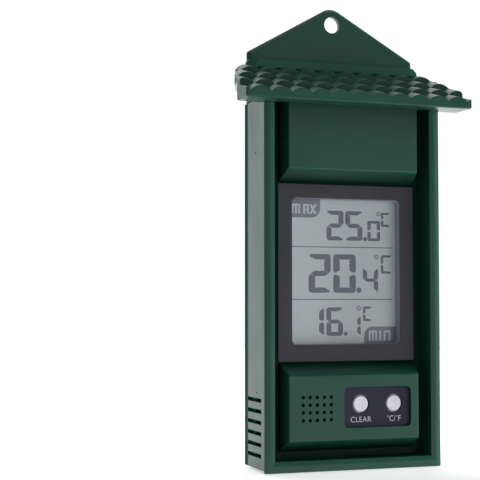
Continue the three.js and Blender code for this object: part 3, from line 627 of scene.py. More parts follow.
def laminate(name, mask, copper):
    """Solder mask over copper tracks that run on a grid."""
    look = Look(name, mask, 0.32)
    cells = look.node("ShaderNodeTexVoronoi", Vector=look.coords, Scale=160.0, Randomness=0.35)
    cells.distance = "CHEBYCHEV"
    tracks = look.spread(cells.outputs["Distance"], 1.0, 0.0, 0.18, 0.26)
    weave = look.noise(900.0, 2.0, look.stretched((1, 1, 0.15)))
    look.drive("Base Color", look.mix(tracks, look.tones(weave, 0.85, 1.15), copper))
    look.drive("Roughness", look.spread(weave, 0.26, 0.42))
    look.bump(tracks, 0.2, 0.00004)
    return look.material


def liquid_crystal(name, color):
    """The reflective rear polariser: a silky, very fine cross grain under the glass."""
    look = Look(name, color, 0.34)
    silk = look.noise(3200.0, 2.0, look.stretched((1, 1, 0.25)))
    base = look.tones(look.noise(18.0, 2.0), 0.965, 1.03)
    look.drive("Base Color", look.mix(look.spread(silk, 0.0, 0.22), base, tinted(color, 0.86)))
    look.drive("Roughness", look.spread(silk, 0.28, 0.42))
    look.bump(silk, 0.02, 0.00005)
    return look.material


def clear(name, color, alpha):
    """Clear acrylic, with faint smears in its gloss."""
    look = Look(name, color, 0.06, ior=1.49)
    look.drive("Alpha", alpha)
    look.drive("Roughness", look.spread(look.noise(35.0, 4.0), 0.04, 0.12))
    look.bump(look.noise(50.0, 2.0), 0.01, 0.0002)
    return look.material


GREEN = (0.0065, 0.062, 0.040)
GREEN_WORN = (0.03, 0.15, 0.105)
# the tone steps paint shade and light into these greens by place
case_green = moulded("green_case", GREEN, 0.34, worn=GREEN_WORN, tone=painted_well_shade)
roof_green = moulded("green_roof", GREEN, 0.44, worn=GREEN_WORN, specular=0.45, tone=painted_tile_front_shade)
cover_green = moulded("green_cover", tinted(GREEN, 0.8), 0.34, worn=GREEN_WORN, tone=cover_rim_painted_light)
bezel_look = moulded("bezel_plastic", (0.03, 0.029, 0.037), 0.36, grain=0.04, worn=(0.09, 0.088, 0.1))
lcd_look = liquid_crystal("lcd_glass", (0.44, 0.51, 0.515))
segment_look = film("lcd_segment", (0.03, 0.043, 0.078), 0.4)
tab_look = film("lcd_tab", (0.085, 0.09, 0.125), 0.4)
border_look = film("lcd_edge", (0.46, 0.53, 0.57), 0.35)
# painted reflection: the window's lining is made pale for the lit display reflected in its wall
sleeve_painted_reflection_look = film("window_edge_painted_reflection", (0.24, 0.245, 0.31), 0.3)
tab_text_look = film("lcd_tab_letters", (0.44, 0.49, 0.52), 0.35)
label_look = film("label_film", (0.018, 0.016, 0.036), 0.45, 0.35)
ink_look = film("label_ink", (0.82, 0.81, 0.86), 0.5)
button_look = moulded("button_plastic", (0.74, 0.73, 0.81), 0.33, grain=0.03, cloud=0.02)

CARRIED = {slot: make(slot, *settings, **more) for slot, make, settings, more in (
    ("green_plastic", moulded, (GREEN, 0.34), {"worn": GREEN_WORN}),
    ("lens_plastic", clear, ((0.9, 0.94, 0.93), 0.07), {}),
    ("holder_plastic", moulded, ((0.72, 0.72, 0.70), 0.5), {"cloud": 0.04}),
    ("connector_rubber", moulded, ((0.09, 0.09, 0.1), 0.7), {"grain": 0.15}),
    ("board_laminate", laminate, ((0.015, 0.13, 0.045), (0.06, 0.24, 0.07)), {}),
    ("component_black", moulded, ((0.012, 0.012, 0.014), 0.35), {"grain": 0.1}),
    ("component_metal", metal, ((0.56, 0.56, 0.58), 0.3), {}),
    ("cell_sleeve", film, ((0.05, 0.055, 0.06), 0.3), {}),
    ("contact_metal", metal, ((0.72, 0.70, 0.66), 0.22), {}),
    ("positive_insulation", moulded, ((0.5, 0.03, 0.02), 0.45), {"grain": 0.05}),
    ("negative_insulation", moulded, ((0.012, 0.012, 0.012), 0.45), {"grain": 0.05}),
    ("screw_steel", metal, ((0.55, 0.55, 0.56), 0.28), {"brushed": (1, 6, 1)}),
)}  # for the CAD nodes that are carried over, by the record's material slot


# ---- front case ----
def frame_ring(margin, y, r=0.8):
    """One ring of the frame's moulding, drawn in from its outer edge by a margin."""
    top = CASE_TOP - min(margin, WALL)
    return (margin - FRAME_HALF, FRAME_HALF - margin, margin * RAIL / STILE, top, r, y)


def front_tub():
    inside = grown(CASE_BOX, -WALL)
    back = SPLIT - GAP
    flat_end = STILE - FRAME_CROWN["inner"]
    inner = FRONT + FRAME_CROWN["inner_depth"]
    rings = [
        (*inside, 0.4, FLOOR_Y + WALL), (*inside, 0.4, back),
        (-SIDE_HALF + 0.2, SIDE_HALF - 0.2, CASE_BOTTOM + 0.2, CASE_TOP, 0.7, back),
        (*CASE_BOX, 0.7, back - 0.2), (*CASE_BOX, 0.7, FRONT + LIP),
        (-FRAME_HALF + 0.12, FRAME_HALF - 0.12, 0.12, CASE_TOP, 0.8, FRONT + LIP),
        frame_ring(0.0, FRONT + LIP - 0.12),
    ]
    rings += [frame_ring(margin, FRONT + depth) for margin, depth in FRAME_CROWN["outer"]]
    rings += [
        frame_ring(flat_end - 0.15, FRONT, 0.6), frame_ring(flat_end + 0.15, FRONT + 0.05, 0.6),
        frame_ring(STILE - 0.3, inner - 0.06, 0.5), frame_ring(STILE - 0.08, inner + 0.04, 0.5),
        frame_ring(STILE, inner + 0.3, 0.5), frame_ring(STILE, FLOOR_Y, 0.5),
    ]
    return rect_loft(rings)


def pad(top, foot):
    """A raised pad: a truncated pyramid whose front edges are rounded, and the hollow behind it."""
    height = FLOOR_Y - FRONT

    def ring(share, margin, y, r):
        between = [a + (b - a) * share for a, b in zip(top, foot)]
        return (*grown(between, -margin), r, y)

    rings = [ring(0, PAD_ROUND, FRONT, 0.35)]
    for sine, rest in quarter(4):
        depth = PAD_ROUND * rest
        rings.append(ring(depth / height, PAD_ROUND * (1 - sine), FRONT + depth, 0.5))
    rings += [(*foot, 0.8, FLOOR_Y), (*foot, 0.8, FLOOR_Y + MERGE)]
    hollow = [(*grown(top, -WALL), 0.5, FRONT + WALL), (*grown(foot, -WALL), 0.5, FLOOR_Y + WALL + PAST)]
    return rect_loft(rings), rect_loft(hollow)


def air_holes():
    """Cutters for a grid of round holes whose mouths at the front are eased."""
    spec, r, flare = AIR_HOLE, AIR_HOLE["r"], AIR_HOLE["flare"]
    profile = [
        (r + flare, FRONT - PAST), (r + flare, FRONT), (r + flare * 0.3, FRONT + flare * 0.3),
        (r, FRONT + flare), (r, FRONT + WALL + PAST),
    ]
    holes = []
    for i in range(spec["columns"]):
        for j in range(spec["rows"]):
            x = spec["x"] + (i - (spec["columns"] - 1) / 2) * spec["pitch"]
            z = spec["z"] + (j - (spec["rows"] - 1) / 2) * spec["pitch"]
            holes.append(turned(x, z, profile, 16))
    return joined(holes)


def label_pocket(flare=0.22):
    """A cutter for the label's recess, whose rim at the front is eased."""
    r = LABEL["r"]
    mouth, eased = grown(LABEL_BOX, flare), grown(LABEL_BOX, flare * 0.3)
    return rect_loft([
        (*mouth, r + flare, FRONT - PAST), (*mouth, r + flare, FRONT),
        (*eased, r + flare * 0.3, FRONT + flare * 0.3),
        (*LABEL_BOX, r, FRONT + flare), (*LABEL_BOX, r, FRONT + LABEL["recess"]),
    ], steps=8)


def vents():
    cutters = []
    for i in range(VENT["count"]):
        z, half = VENT["first"] + i * VENT["pitch"], VENT["height"] / 2
        outline = filleted([
            (VENT["end"], z - half, VENT["r"]), (SPLIT + PAST, z - half, 0), (SPLIT + PAST, z + half, 0),
            (VENT["end"], z + half, VENT["r"]),
        ], 3)
        for side in (-1, 1):
            xs = sorted((side * (SIDE_HALF - WALL - PAST), side * (FRAME_HALF + PAST)))
            cutters.append(loft([at_x(outline, x) for x in xs]))
    return joined(cutters)


def pits():
    cutters = []
    for y, z in PIT["at"]:
        for side in (-1, 1):
            xs = (side * (SIDE_HALF - PIT["depth"]), side * (SIDE_HALF + PAST))
            cutters.append(loft([at_x(circle(y, z, PIT["r"], 12), x) for x in xs]))
    return joined(cutters)


def front_case():
    floor_back = FLOOR_Y + WALL
    body = front_tub()
    (upper, upper_hollow), (lower, lower_hollow) = pad(*UPPER_PAD), pad(*LOWER_PAD)
    add(body, joined([upper, lower]))
    cut(body, joined([upper_hollow, lower_hollow]))
    add(body, block(grown(LABEL_BOX, PANEL_MARGIN), FRONT + WALL - MERGE, PANEL_BACK))
    add(body, at_buttons([(COLLAR["outer"], PANEL_BACK - MERGE), (COLLAR["outer"], COLLAR["end"])]))
    for screw in (CASE_SCREW, BOARD_SCREW):
        add(body, pins(screw, [(screw["post"], floor_back - MERGE), (screw["post"], screw["end"])]))
    for screw in (CASE_SCREW, BOARD_SCREW):
        cut(body, pins(screw, [(screw["pilot"], floor_back + MERGE), (screw["pilot"], screw["end"] + GAP)]))
    cut(body, block(grown(WINDOW_BOX, COLLAR_OUT + GAP), FLOOR_Y - PAST, floor_back + PAST))
    cut(body, label_pocket())
    cut(body, at_buttons([(COLLAR["inner"], PANEL_BACK), (COLLAR["inner"], COLLAR["end"] + PAST)]))
    cut(body, at_buttons([(BUTTON["r"] + GAP, FRONT), (BUTTON["r"] + GAP, PANEL_BACK + PAST)]))
    for cutter in (air_holes(), vents(), pits()):
        cut(body, cutter)
    place(clean(body), "front_case_moulding", "case", case_green, ["front_case"])


# ---- rear cover ----
def gable_outline(margin):
    angle = math.atan(GABLE["slope"])
    tilt = 90 - math.degrees(angle)
    half = GABLE["half"] - margin
    peak = GABLE["apex"] - margin / math.cos(angle)
    corner = max(GABLE["corner"] - margin, GAP)
    apex_r = GABLE["apex_r"] - margin
    corner_x = half - corner
    corner_z = peak - GABLE["slope"] * corner_x - corner / math.cos(angle)
    apex_z = peak - apex_r / math.cos(angle)
    return [
        (-half, CASE_TOP - WALL), (half, CASE_TOP - WALL),
        *arc(corner_x, corner_z, corner, 0, tilt, 6),
        *arc(0, apex_z, apex_r, tilt, 180 - tilt, 24),
        *arc(-corner_x, corner_z, corner, 180 - tilt, 180, 6),
    ]


def gable():
    b, front = GABLE["bevel"], -COVER["gable"]
    steps = (
        (b + 0.12, front), (b - 0.08, front + 0.05), (b - 0.3, front + 0.2), (0.3, front + b - 0.3),
        (0.08, front + b - 0.05), (0.0, front + b + 0.2), (0.0, -0.25), (0.08, -0.08), (0.25, 0.0),
    )
    return loft([at_y(gable_outline(margin), y) for margin, y in steps])


def cover_shell():
    lap, end = SIDE_HALF - COVER["lap_outer"], COVER["lap_end"]
    lap_in = lap + COVER["lap_thick"]

    def ring(margin, y, r=0.7):
        return (*grown(CASE_BOX, -margin), r, y)

    return rect_loft([
        ring(0.25, 0.0), ring(0.0, -0.25), ring(EDGE["draft"], EDGE["back"]), ring(0.0, EDGE["back"] - 0.05),
        ring(0.0, SPLIT + 0.1), ring(0.1, SPLIT), ring(lap, SPLIT, 0.5), ring(lap, end + 0.2, 0.5),
        ring(lap + 0.2, end, 0.5), ring(lap_in, end, 0.4), ring(lap_in, -COVER["plate"], 0.4),
    ])


def rear_cover():
    body = cover_shell()
    add(body, gable())
    rib = MERGE - COVER["plate"]
    add(body, pins(CASE_SCREW, [(SCREW_HOLE["boss"], SCREW_HOLE["boss_end"]), (SCREW_HOLE["boss"], rib)], 32))
    add(body, block(grown(BAY_BOX, BAY["wall"]), BAY["depth"] - BAY["wall"], rib, 0.4))
    add(body, block(grown(DOOR_BOX, WALL), -DOOR_RECESS - WALL, rib, 0.4))
    shank, head = SCREW_HOLE["shank"], SCREW_HOLE["head"]
    for screw in (CASE_SCREW, ROOF_SCREW):
        cut(body, pins(screw, [
            (shank, SCREW_HOLE["boss_end"] - PAST), (shank, screw["seat"]), (head, screw["seat"]),
            (head, -0.25), (head + 0.07, -0.1), (head + 0.25, 0.0), (head + 0.25, PAST),
        ], 40))
    r, front = HANG_HOLE["r"], -COVER["gable"]
    cut(body, turned(0, HANG_HOLE["z"], [
        (r + 0.35, front - PAST), (r + 0.35, front), (r + 0.1, front + 0.1), (r, front + 0.35),
        (r, -0.35), (r + 0.1, -0.1), (r + 0.35, 0.0), (r + 0.35, PAST),
    ], 64))
    cut(body, block(BAY_BOX, BAY["depth"], PAST))
    mouth = grown(DOOR_BOX, 0.2)
    cut(body, rect_loft([
        (*DOOR_BOX, 0.9, -DOOR_RECESS), (*DOOR_BOX, 0.9, -0.2), (*mouth, 1.1, 0.0), (*mouth, 1.1, PAST),
    ]))
    low, high = BAY["z"] - CONTACT["half_height"], BAY["z"] + CONTACT["half_height"]
    y0, y1 = BAY["depth"] - BAY["wall"] - PAST, BAY["depth"] + PAST
    cut(body, joined([block((x - CONTACT["half"], x + CONTACT["half"], low, high), y0, y1)
                      for x in (-CONTACT["x"], CONTACT["x"])]))
    place(clean(body), "rear_cover_moulding", "case", cover_green, ["rear_cover"])


# ---- roof ----
def tile_row(row):
    """One row: arches across X with a rounded front rim, carried up the slope to the wall."""
    pitch, rise, rim, slope = TILE["pitch"], TILE["rise"], TILE["rim"], TILE["slope"]
    radius = ((pitch / 2) ** 2 + rise**2) / (2 * rise)
    end, end_r = ROOF["half"], TILE["end_r"]
    count = math.ceil(end / pitch) + 1
    first = (row["offset"] - count) * pitch
    front, back, foot = row["y"], ROOF["back"], ROOF["soffit"]
    steps = TILE["steps"]
    xs = [first + (tile + i / steps) * pitch for tile in range(count * 2) for i in range(steps)]
    for sine, _ in quarter(8):
        xs += [end - end_r + end_r * sine, end_r - end - end_r * sine]
    rings = []
    for x in sorted(xs):
        height = 0.0
        if abs(x) < row["tiles"] / 2 * pitch:
            from_crest = (x - first) % pitch - pitch / 2
            height = math.sqrt(radius**2 - from_crest**2) - radius + rise
        over = min(max(abs(x) - end + end_r, 0.0), end_r)
        top = row["crest"] - rise + height + math.sqrt(end_r**2 - over**2) - end_r
        ring = [(x, back, foot), (x, front, foot), (x, front, top - rim)]
        for sine, rest in quarter(5):
            y = front + rim * rest
            ring.append((x, y, top - rim * (1 - sine) + slope * (y - front)))
        ring.append((x, back, top + slope * (back - front)))
        rings.append(ring)
    return loft(rings)


def hip_plan(margin):
    half, back, back_half = ROOF["half"] - margin, ROOF["back"] - margin, HIP["back_half"] - margin
    front, side_front = ROWS[2]["y"], HIP["front"]
    return filleted([
        (-half, front, 0.01), (half, front, 0.01), (half, side_front, 1.4), (back_half, back, 0.6),
        (-back_half, back, 0.6), (-half, side_front, 1.4),
    ])


def column(outline, z0, z1):
    return loft([at_z(outline, z0), at_z(outline, z1)])


def upright_box(half, y0, y1, z0, z1):
    return column(rounded_rect(-half, half, y0, y1, 0.01), z0, z1)


def ridge():
    def outline(margin, drawn):
        half, z1, c = RIDGE["half"] - margin - drawn, RIDGE["z1"] - margin, RIDGE["cut"]
        return filleted([
            (-half, RIDGE["z0"], 0.05), (half, RIDGE["z0"], 0.05), (half, z1 - c, 1.2),
            (half - c, z1, 1.2), (c - half, z1, 1.2), (-half, z1 - c, 1.2),
        ])

    mitre, deep, front = RIDGE["mitre"], RIDGE["mitre_depth"], RIDGE["front"]
    steps = (
        (0.6, mitre, front), (0.25, mitre, front + 0.1), (0.06, mitre - 0.2, front + 0.25),
        (0.0, mitre - 0.5, front + 0.4), (0.0, 0.3, front + deep - 0.2), (0.0, 0.0, front + deep),
        (0.0, 0.0, ROOF["back"]),
    )
    return loft([at_y(outline(margin, drawn), y) for margin, drawn, y in steps])


def roof_plan(high):
    """What the tile rows are trimmed to, seen from above: two wings, the hips and the body between."""
    half, soffit, wing_back, r = ROOF["half"], ROOF["soffit"], ROOF["wing_back"], TILE["foot_r"]

    def wings(margin, z):
        x, y0, y1 = half - margin, -DEPTH + margin, wing_back - margin
        return at_z(filleted([(-x, y0, 0.9), (x, y0, 0.9), (x, y1, 2.4), (-x, y1, 2.4)]), z)

    foot = [wings(r, soffit)] + [wings(r * (1 - sine), soffit + r * rest) for sine, rest in quarter(6)]
    plan = loft([*foot, wings(0.0, high)])
    add(plan, column(hip_plan(0.0), HIP["underside"], high))
    return add(plan, upright_box(SIDE_HALF, wing_back - PAST, ROOF["back"], CASE_TOP + GAP, high))


def roof_hollow(high):
    half, soffit, wing_back = ROOF["half"], ROOF["soffit"], ROOF["wing_back"]
    climb = (ROWS[0]["crest"] - ROWS[3]["crest"]) / (ROWS[0]["y"] - ROWS[3]["y"])

    def ceiling(y):
        return ROWS[3]["crest"] - TILE["rise"] - WALL - ROOF["spare"] + (y + DEPTH) * climb

    start, soffit_top, ridge_y = 2 * WALL - DEPTH, soffit + ROOF["thick"], RIDGE["front"]
    section = [(start, soffit_top), (PAST, soffit_top), (PAST, ceiling(ridge_y)), (ridge_y, ceiling(ridge_y)),
               (start, ceiling(start))]
    hollow = loft([at_x(section, x) for x in (-half, half)])
    mask = upright_box(half - WALL, -DEPTH, wing_back - WALL, soffit, high)
    add(mask, upright_box(SIDE_HALF - WALL, wing_back - 2 * WALL, PAST, soffit, high))
    hips = column(hip_plan(WALL), soffit, high)
    cut(hips, upright_box(SIDE_HALF, -DEPTH, PAST, 0, high + PAST))
    cut(hips, upright_box(half, -DEPTH, wing_back, 0, high + PAST))
    add(mask, hips)
    return combine(hollow, mask, "INTERSECT")


def roof():
    high = RIDGE["z1"] + PAST
    body = tile_row(ROWS[3])
    for row in ROWS[:3]:
        add(body, tile_row(row))
    combine(body, roof_plan(high), "INTERSECT")
    add(body, ridge())
    cut(body, roof_hollow(high))
    cut(body, upright_box(FRAME_HALF + GAP, FRONT - GAP, PAST, ROOF["soffit"] - PAST, CASE_TOP + GAP))
    post, pilot, end = ROOF_SCREW["post"], ROOF_SCREW["pilot"], ROOF_SCREW["end"]
    add(body, pins(ROOF_SCREW, [(post, end), (post, ROOF["back"])], 32))
    cut(body, pins(ROOF_SCREW, [(pilot, end + PAST), (pilot, 0)]))
    place(clean(body, 0.2), "roof_tiles", "case", roof_green, ["roof"], angle=35)


# ---- display ----
def bezel():
    front, back = BEZEL["front"], BEZEL["front"] + BEZEL["thick"]

    def outer(margin, y):
        return (*grown(BEZEL_BOX, -margin), 0.9, y)

    def inner(out, y, r=WINDOW_R):
        return (*grown(WINDOW_BOX, out), r + out, y)

    rings = [
        outer(0.05, back), outer(0.0, front + 0.3), outer(0.07, front + 0.1), outer(0.28, front),
        inner(0.35, front), inner(0.1, front + 0.1), inner(0.0, front + 0.35), inner(0.0, COLLAR_BACK),
        inner(COLLAR_OUT, COLLAR_BACK, 1.0), inner(COLLAR_OUT, back, 1.0),
    ]
    place(rect_loft(rings, True, 8), "display_bezel_moulding", "case", bezel_look,
          ["display_bezel"])


def window_sleeve():
    """A thin lining of the window, which stands for the moulded edge of the lens; its pale blue-grey is a
    painted reflection of the lit display in the window's wall.
    """
    steps = (
        (0.02, BEZEL["front"] + 0.55), (0.14, BEZEL["front"] + 0.6), (0.2, BEZEL["front"] + 0.75),
        (0.2, COLLAR_BACK - 0.05), (0.02, COLLAR_BACK - 0.05),
    )
    rings = [(*grown(WINDOW_BOX, -inset), WINDOW_R - inset, y) for inset, y in steps]
    place(rect_loft(rings, True, 8), "window_sleeve", "case", sleeve_painted_reflection_look)


def lcd():
    """Two sheets of glass with a fine groove round the edge where they meet."""
    front, back = LCD_FRONT, LCD_BACK
    steps = (
        (0.15, front), (0.0, front + 0.15), (0.0, front + 1.0), (0.12, front + 1.04), (0.12, front + 1.16),
        (0.0, front + 1.2), (0.0, back - 0.15), (0.15, back),
    )
    body = rect_loft([(*grown(LCD_BOX, -margin), 0.4, y) for margin, y in steps])
    place(body, "lcd_sandwich", "case", lcd_look, ["lcd_panel"])


SEGMENT_FRONT = LCD_FRONT - 0.07
SEGMENT_BACK = LCD_FRONT - 0.01
DIGIT_SEGMENTS = {
    "0": "abcdef", "1": "bc", "2": "abged", "4": "fgbc", "5": "afgcd", "6": "afgedc", "C": "afed",
}


def digit(which, x0, x1, z0, z1, across, upright, gap=0.32):
    """Seven-segment outlines: mitred bars with small gaps, rounded off at their tips."""
    mid = (z0 + z1) / 2
    a, b, g = across, upright, gap
    tip = 0.35 * a
    top = [(x0 + g + tip, z1), (x1 - g - tip, z1), (x1 - g, z1 - tip), (x1 - b - g * 0.4, z1 - a),
           (x0 + b + g * 0.4, z1 - a), (x0 + g, z1 - tip)]
    middle = [(x0 + g + 0.25 * b, mid), (x0 + b * 0.85 + g, mid + a / 2), (x1 - b * 0.85 - g, mid + a / 2),
              (x1 - g - 0.25 * b, mid), (x1 - b * 0.85 - g, mid - a / 2), (x0 + b * 0.85 + g, mid - a / 2)]
    left = [(x0, z1 - g - tip), (x0 + tip * 0.6, z1 - g - 0.2 * tip), (x0 + b, z1 - a - g),
            (x0 + b, mid + a / 2 + g * 0.6), (x0 + 0.3 * b, mid + g), (x0, mid + g + 0.3 * b)]

    def to_right(points):
        return [(x0 + x1 - x, z) for x, z in points]

    def lower(points):
        return [(x, z0 + z1 - z) for x, z in points]

    bars = {"a": top, "d": lower(top), "g": middle, "f": left, "e": lower(left),
            "b": to_right(left), "c": to_right(lower(left))}
    return [bars[s] for s in DIGIT_SEGMENTS[which]]


def lcd_rows():
    """The maximum, current and minimum temperature."""
    outlines = []
    for row in LCD_ROWS:
        for which, x0, x1 in row["digits"]:
            outlines += digit(which, x0, x1, *row["z"], row["bar"], row["upright"])
        outlines.append(circle(*row["dot"], row["bar"] * DOT_R, 20))
        outlines += digit(*row["tenths"], row["thin"], row["thin"] * 1.35, 0.24)
        outlines += digit("C", *row["unit"], **UNIT_STROKE)
    rings = []
    for row in LCD_ROWS:
        outer, inner = [circle(*row["degree"], r, 24) for r in DEGREE_R]
        rings.append(loft([at_y(outer, SEGMENT_FRONT), at_y(outer, SEGMENT_BACK), at_y(inner, SEGMENT_BACK),
                           at_y(inner, SEGMENT_FRONT)], closed=True))
    segments = plates(outlines, SEGMENT_FRONT, SEGMENT_BACK)
    place_print(joined([segments, *rings]), "lcd_segments", segment_look)


def comb(x0, x1, z0, z1, legs, stroke=1.05):
    """A letter of square legs that hang from one top bar: I, n or m."""
    if legs == 1:
        return [rounded_rect(x0, x1, z0, z1, 0.15, 2)]
    corners = [(x0, z0, 0.1), (x0, z1, 0.7), (x1, z1, 0.7), (x1, z0, 0.1)]
    step = (x1 - x0 - stroke) / (legs - 1)
    for k in range(legs - 1, 0, -1):
        right, left = x0 + k * step, x0 + (k - 1) * step + stroke
        corners += [(right, z0, 0.1), (right, z1 - stroke, 0.15), (left, z1 - stroke, 0.15), (left, z0, 0.1)]
    return [filleted(corners, 3)]


def arch_letter(x0, x1, z0, z1, stroke=1.05):
    """A square-shouldered A: an arch of two legs and a bar between them."""
    bar = z0 + 0.36 * (z1 - z0)
    gap = 0.08
    inside = rounded_rect(x0 + stroke + gap, x1 - stroke - gap, bar, bar + 0.8 * stroke, 0.05, 2)
    return [*comb(x0, x1, z0, z1, 2, stroke), inside]


def cross(x0, x1, z0, z1, stroke=1.35):
    """An X in one outline."""
    cx, cz, half = (x0 + x1) / 2, (z0 + z1) / 2, stroke / 2
    rise = half * (z1 - z0) / (x1 - x0 - stroke)
    return [[
        (x0, z0), (x0 + stroke, z0), (cx, cz - rise), (x1 - stroke, z0), (x1, z0), (cx + half, cz),
        (x1, z1), (x1 - stroke, z1), (cx, cz + rise), (x0 + stroke, z1), (x0, z1), (cx - half, cz),
    ]]


def lcd_fields():
    """The MAX and MIN tabs with their letters, the dividing lines, and the border on the right."""
    left, right, low, high = grown(LCD_BOX, -TAB["margin"])
    (max_x, max_z), (min_x, min_z), r = TAB["max"], TAB["min"], TAB["r"]
    tabs = [
        filleted([(left, max_z, 0.3), (max_x, max_z, r), (max_x, high, 0.3), (left, high, 0.3)], 8),
        filleted([(min_x, low, 0.3), (right, low, 0.3), (right, min_z, 0.3), (min_x, min_z, r)], 8),
    ]
    half = LINES["half"]
    lines = [rounded_rect(left, LCD_END - 0.2, z - half, z + half, 0.05, 2) for z in LINES["z"]]
    letters = [
        *comb(-28.9, -24.1, *MAX_LETTERS, 3), *arch_letter(-22.4, -19.1, *MAX_LETTERS),
        *cross(-18.9, -14.6, *MAX_LETTERS),
        *comb(15.4, 20.3, *MIN_LETTERS, 3), *comb(21.6, 22.7, *MIN_LETTERS, 1),
        *comb(24.2, 28.2, *MIN_LETTERS, 2),
    ]
    _, edge, low, high = grown(LCD_BOX, -0.3)
    border = [rounded_rect(LCD_END, edge, low, high, 0.1, 2)]
    for name, outlines, lift, sink, look in (
        ("lcd_tabs", tabs, 0.05, 0.01, tab_look),
        ("lcd_dividers", lines, 0.07, 0.01, segment_look),
        ("lcd_letters", letters, 0.09, 0.045, tab_text_look),
        ("lcd_border", border, 0.045, 0.005, border_look),
    ):
        place_print(plates(outlines, LCD_FRONT - lift, LCD_FRONT - sink), name, look)


# ---- button panel ----
def button(name, x):
    r, front, flange, plunger = BUTTON["cap_r"], BUTTON["front"], BUTTON["flange"], BUTTON["plunger"]
    flange_front = PANEL_BACK + GAP
    flange_back = flange_front + BUTTON["flange_thick"]
    profile = [
        (0.02, front + 0.1), (r * 0.5, front + 0.08), (r - 1.0, front + 0.03), (r - 0.75, front),
        (r - 0.5, front + 0.02), (r - 0.25, front + 0.1), (r - 0.08, front + 0.3), (r, front + 0.6),
        (r, flange_front), (flange, flange_front), (flange, flange_back), (plunger, flange_back),
        (plunger, BUTTON["plunger_end"]), (0.02, BUTTON["plunger_end"]),
    ]
    body = turned(x, BUTTON["z"], profile, 64)
    place(body, name + "_cap", name, button_look, [name], weighted=False)


def words(text, name, box, y, bold, thick=0.02):
    """Generic lettering as a thin solid, fitted to a box that faces -Y."""
    curve = bpy.data.curves.new(name, "FONT")
    curve.body = text
    curve.extrude = 0.5
    curve.offset = bold
    curve.resolution_u = 6
    source = link(name + "_source", curve)
    mesh = evaluated(source)
    bpy.data.objects.remove(source)
    xs = [v.co.x for v in mesh.vertices]
    zs = [v.co.y for v in mesh.vertices]
    x0, x1, z0, z1 = box
    left, low = min(xs), min(zs)
    sx, sz = (x1 - x0) / (max(xs) - left), (z1 - z0) / (max(zs) - low)
    for v in mesh.vertices:
        v.co = (x0 + (v.co.x - left) * sx, y - v.co.z * thick, z0 + (v.co.y - low) * sz)

    def merge(bm):
        bmesh.ops.remove_doubles(bm, verts=bm.verts, dist=0.0001)

    place_print(link(name, reworked(mesh, merge, face_outwards)), name, ink_look)


def label():
    back = FRONT + LABEL["recess"] - 0.05
    front = back - LABEL["thick"]

    def ring(margin, y):
        inset = LABEL["inset"] + margin
        return (*grown(LABEL_BOX, -inset), LABEL["r"] - inset, y)

    body = rect_loft([ring(0.1, front), ring(0.0, front + 0.1), ring(0.0, back)], steps=8)
    hole = BUTTON["r"] + GAP + 0.05
    cut(body, at_buttons([(hole, FRONT), (hole, back + PAST)], 64))
    place(body, "button_label_film", "case", label_look, ["button_label"])
    for text, name, box, bold in WORDS:
        words(text, name, box, front - 0.005, bold)


front_case()
rear_cover()
roof()
bezel()
lcd()
lcd_rows()
lcd_fields()
window_sleeve()
label()
for button_name, button_x in zip(("clear_button", "unit_button"), BUTTON["x"]):
    button(button_name, button_x)

# ---- carried-over CAD nodes ----
SMALL_PARTS = ("screw_steel", "component_metal", "component_black")
EASE, SMALL_EASE = 0.00025, 0.00012


def finish_node(obj, material, ease):
    """Gives a CAD node its material, and modifiers that ease its hard edges."""
    obj.data.materials.clear()
    obj.data.materials.append(material)
    modify(obj, "WELD", merge_threshold=1e-6)
    modify(obj, "DECIMATE", decimate_type="DISSOLVE", angle_limit=math.radians(1))
    modify(obj, "BEVEL", width=ease, segments=2, limit_method="ANGLE", angle_limit=math.radians(38),
           harden_normals=True)


for part in frame["record"]["subparts"]:
    cad_node, slot = frame["nodes"][part["node"]], part["material_slot"]
    if not cad_node.hide_render and slot in CARRIED:
        finish_node(cad_node, CARRIED[slot], SMALL_EASE if slot in SMALL_PARTS else EASE)


# ---- stage, light and camera ----
def softbox(name, location, target, width, height, power, hidden):
    light = bpy.data.lights.new(name, "AREA")
    light.shape = "RECTANGLE"
    light.size, light.size_y = width, height
    light.energy = power
    obj = link(name, light)
    obj.location = location
    obj.rotation_euler = (Vector(target) - obj.location).to_track_quat("-Z", "Y").to_euler()
    for ray, shown in hidden.items():
        setattr(obj, ray, shown)


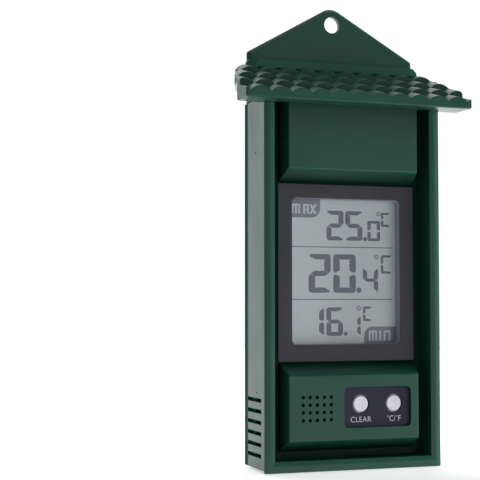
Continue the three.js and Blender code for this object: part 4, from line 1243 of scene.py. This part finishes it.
def studio_floor(rings=12, sides=64):
    """A round pale sheet with a soft mottle, which glows behind the object."""
    points = [(0, 0, FLOOR_Z)]
    for k in range(1, rings + 1):
        points += at_z(circle(0, 0, FLOOR_RADIUS * (k / rings) ** 1.5, sides), FLOOR_Z)
    faces = [(0, 1 + i, 1 + (i + 1) % sides) for i in range(sides)]
    for k in range(rings - 1):
        a, b = 1 + k * sides, 1 + (k + 1) * sides
        faces += [(a + i, b + i, b + (i + 1) % sides, a + (i + 1) % sides) for i in range(sides)]
    floor = link("studio_floor", mesh_of("studio_floor", points, faces))
    look = Look("studio_floor", (0.86, 0.86, 0.86), 0.9, specular=0.1)
    look.drive("Base Color", look.ramp(look.noise(3.0), [(0.3, (0.85,) * 3), (0.7, (0.88,) * 3)]))
    look.drive("Emission Color", (1, 1, 1, 1))
    glow = look.spread(look.axes()["Y"], *STUDIO["table_glow"], *STUDIO["table_from"])
    look.drive("Emission Strength", glow)
    floor.data.materials.append(look.material)


def studio_world():
    """A pale studio: white behind the object, dim in front but for one card on the right."""
    world = bpy.data.worlds.new("studio")
    bpy.context.scene.world = world
    sky = Nodes(world, "Background", "Generated")

    def facing(vector, low, high, dark, bright):
        """Fades from dark to bright as the direction turns to the given one."""
        return sky.spread(sky.dot(sky.coords, vector), dark, bright, low, high, smooth=True)

    def both(a, b, operation="MULTIPLY"):
        return sky.math(operation, a, b, clamp=False)

    behind = both(facing((0, 1, 0), *STUDIO["behind"]), facing((1, 0, 0), *STUDIO["left_gain"]))
    card = both(facing(STUDIO["card_at"], *STUDIO["card"]), facing((0, 0, 1), *STUDIO["card_top"]))
    sky.drive("Strength", both(behind, card, "ADD"))
    sky.drive("Color", (0.95, 0.96, 1.0, 1))


def aim_camera():
    data = bpy.data.cameras.new("camera")
    data.sensor_width, data.lens = CAMERA["sensor"], CAMERA["lens"]
    camera = link("camera", data)
    camera.location = CAMERA["at"]
    camera.rotation_euler = (math.radians(90 + CAMERA["tilt"]), 0, math.radians(CAMERA["turn"]))
    bpy.context.scene.camera = camera
    bpy.context.scene.view_settings.view_transform = "Standard"


studio_floor()
studio_world()
for box_settings in SOFTBOXES:
    softbox(*box_settings)
aim_camera()
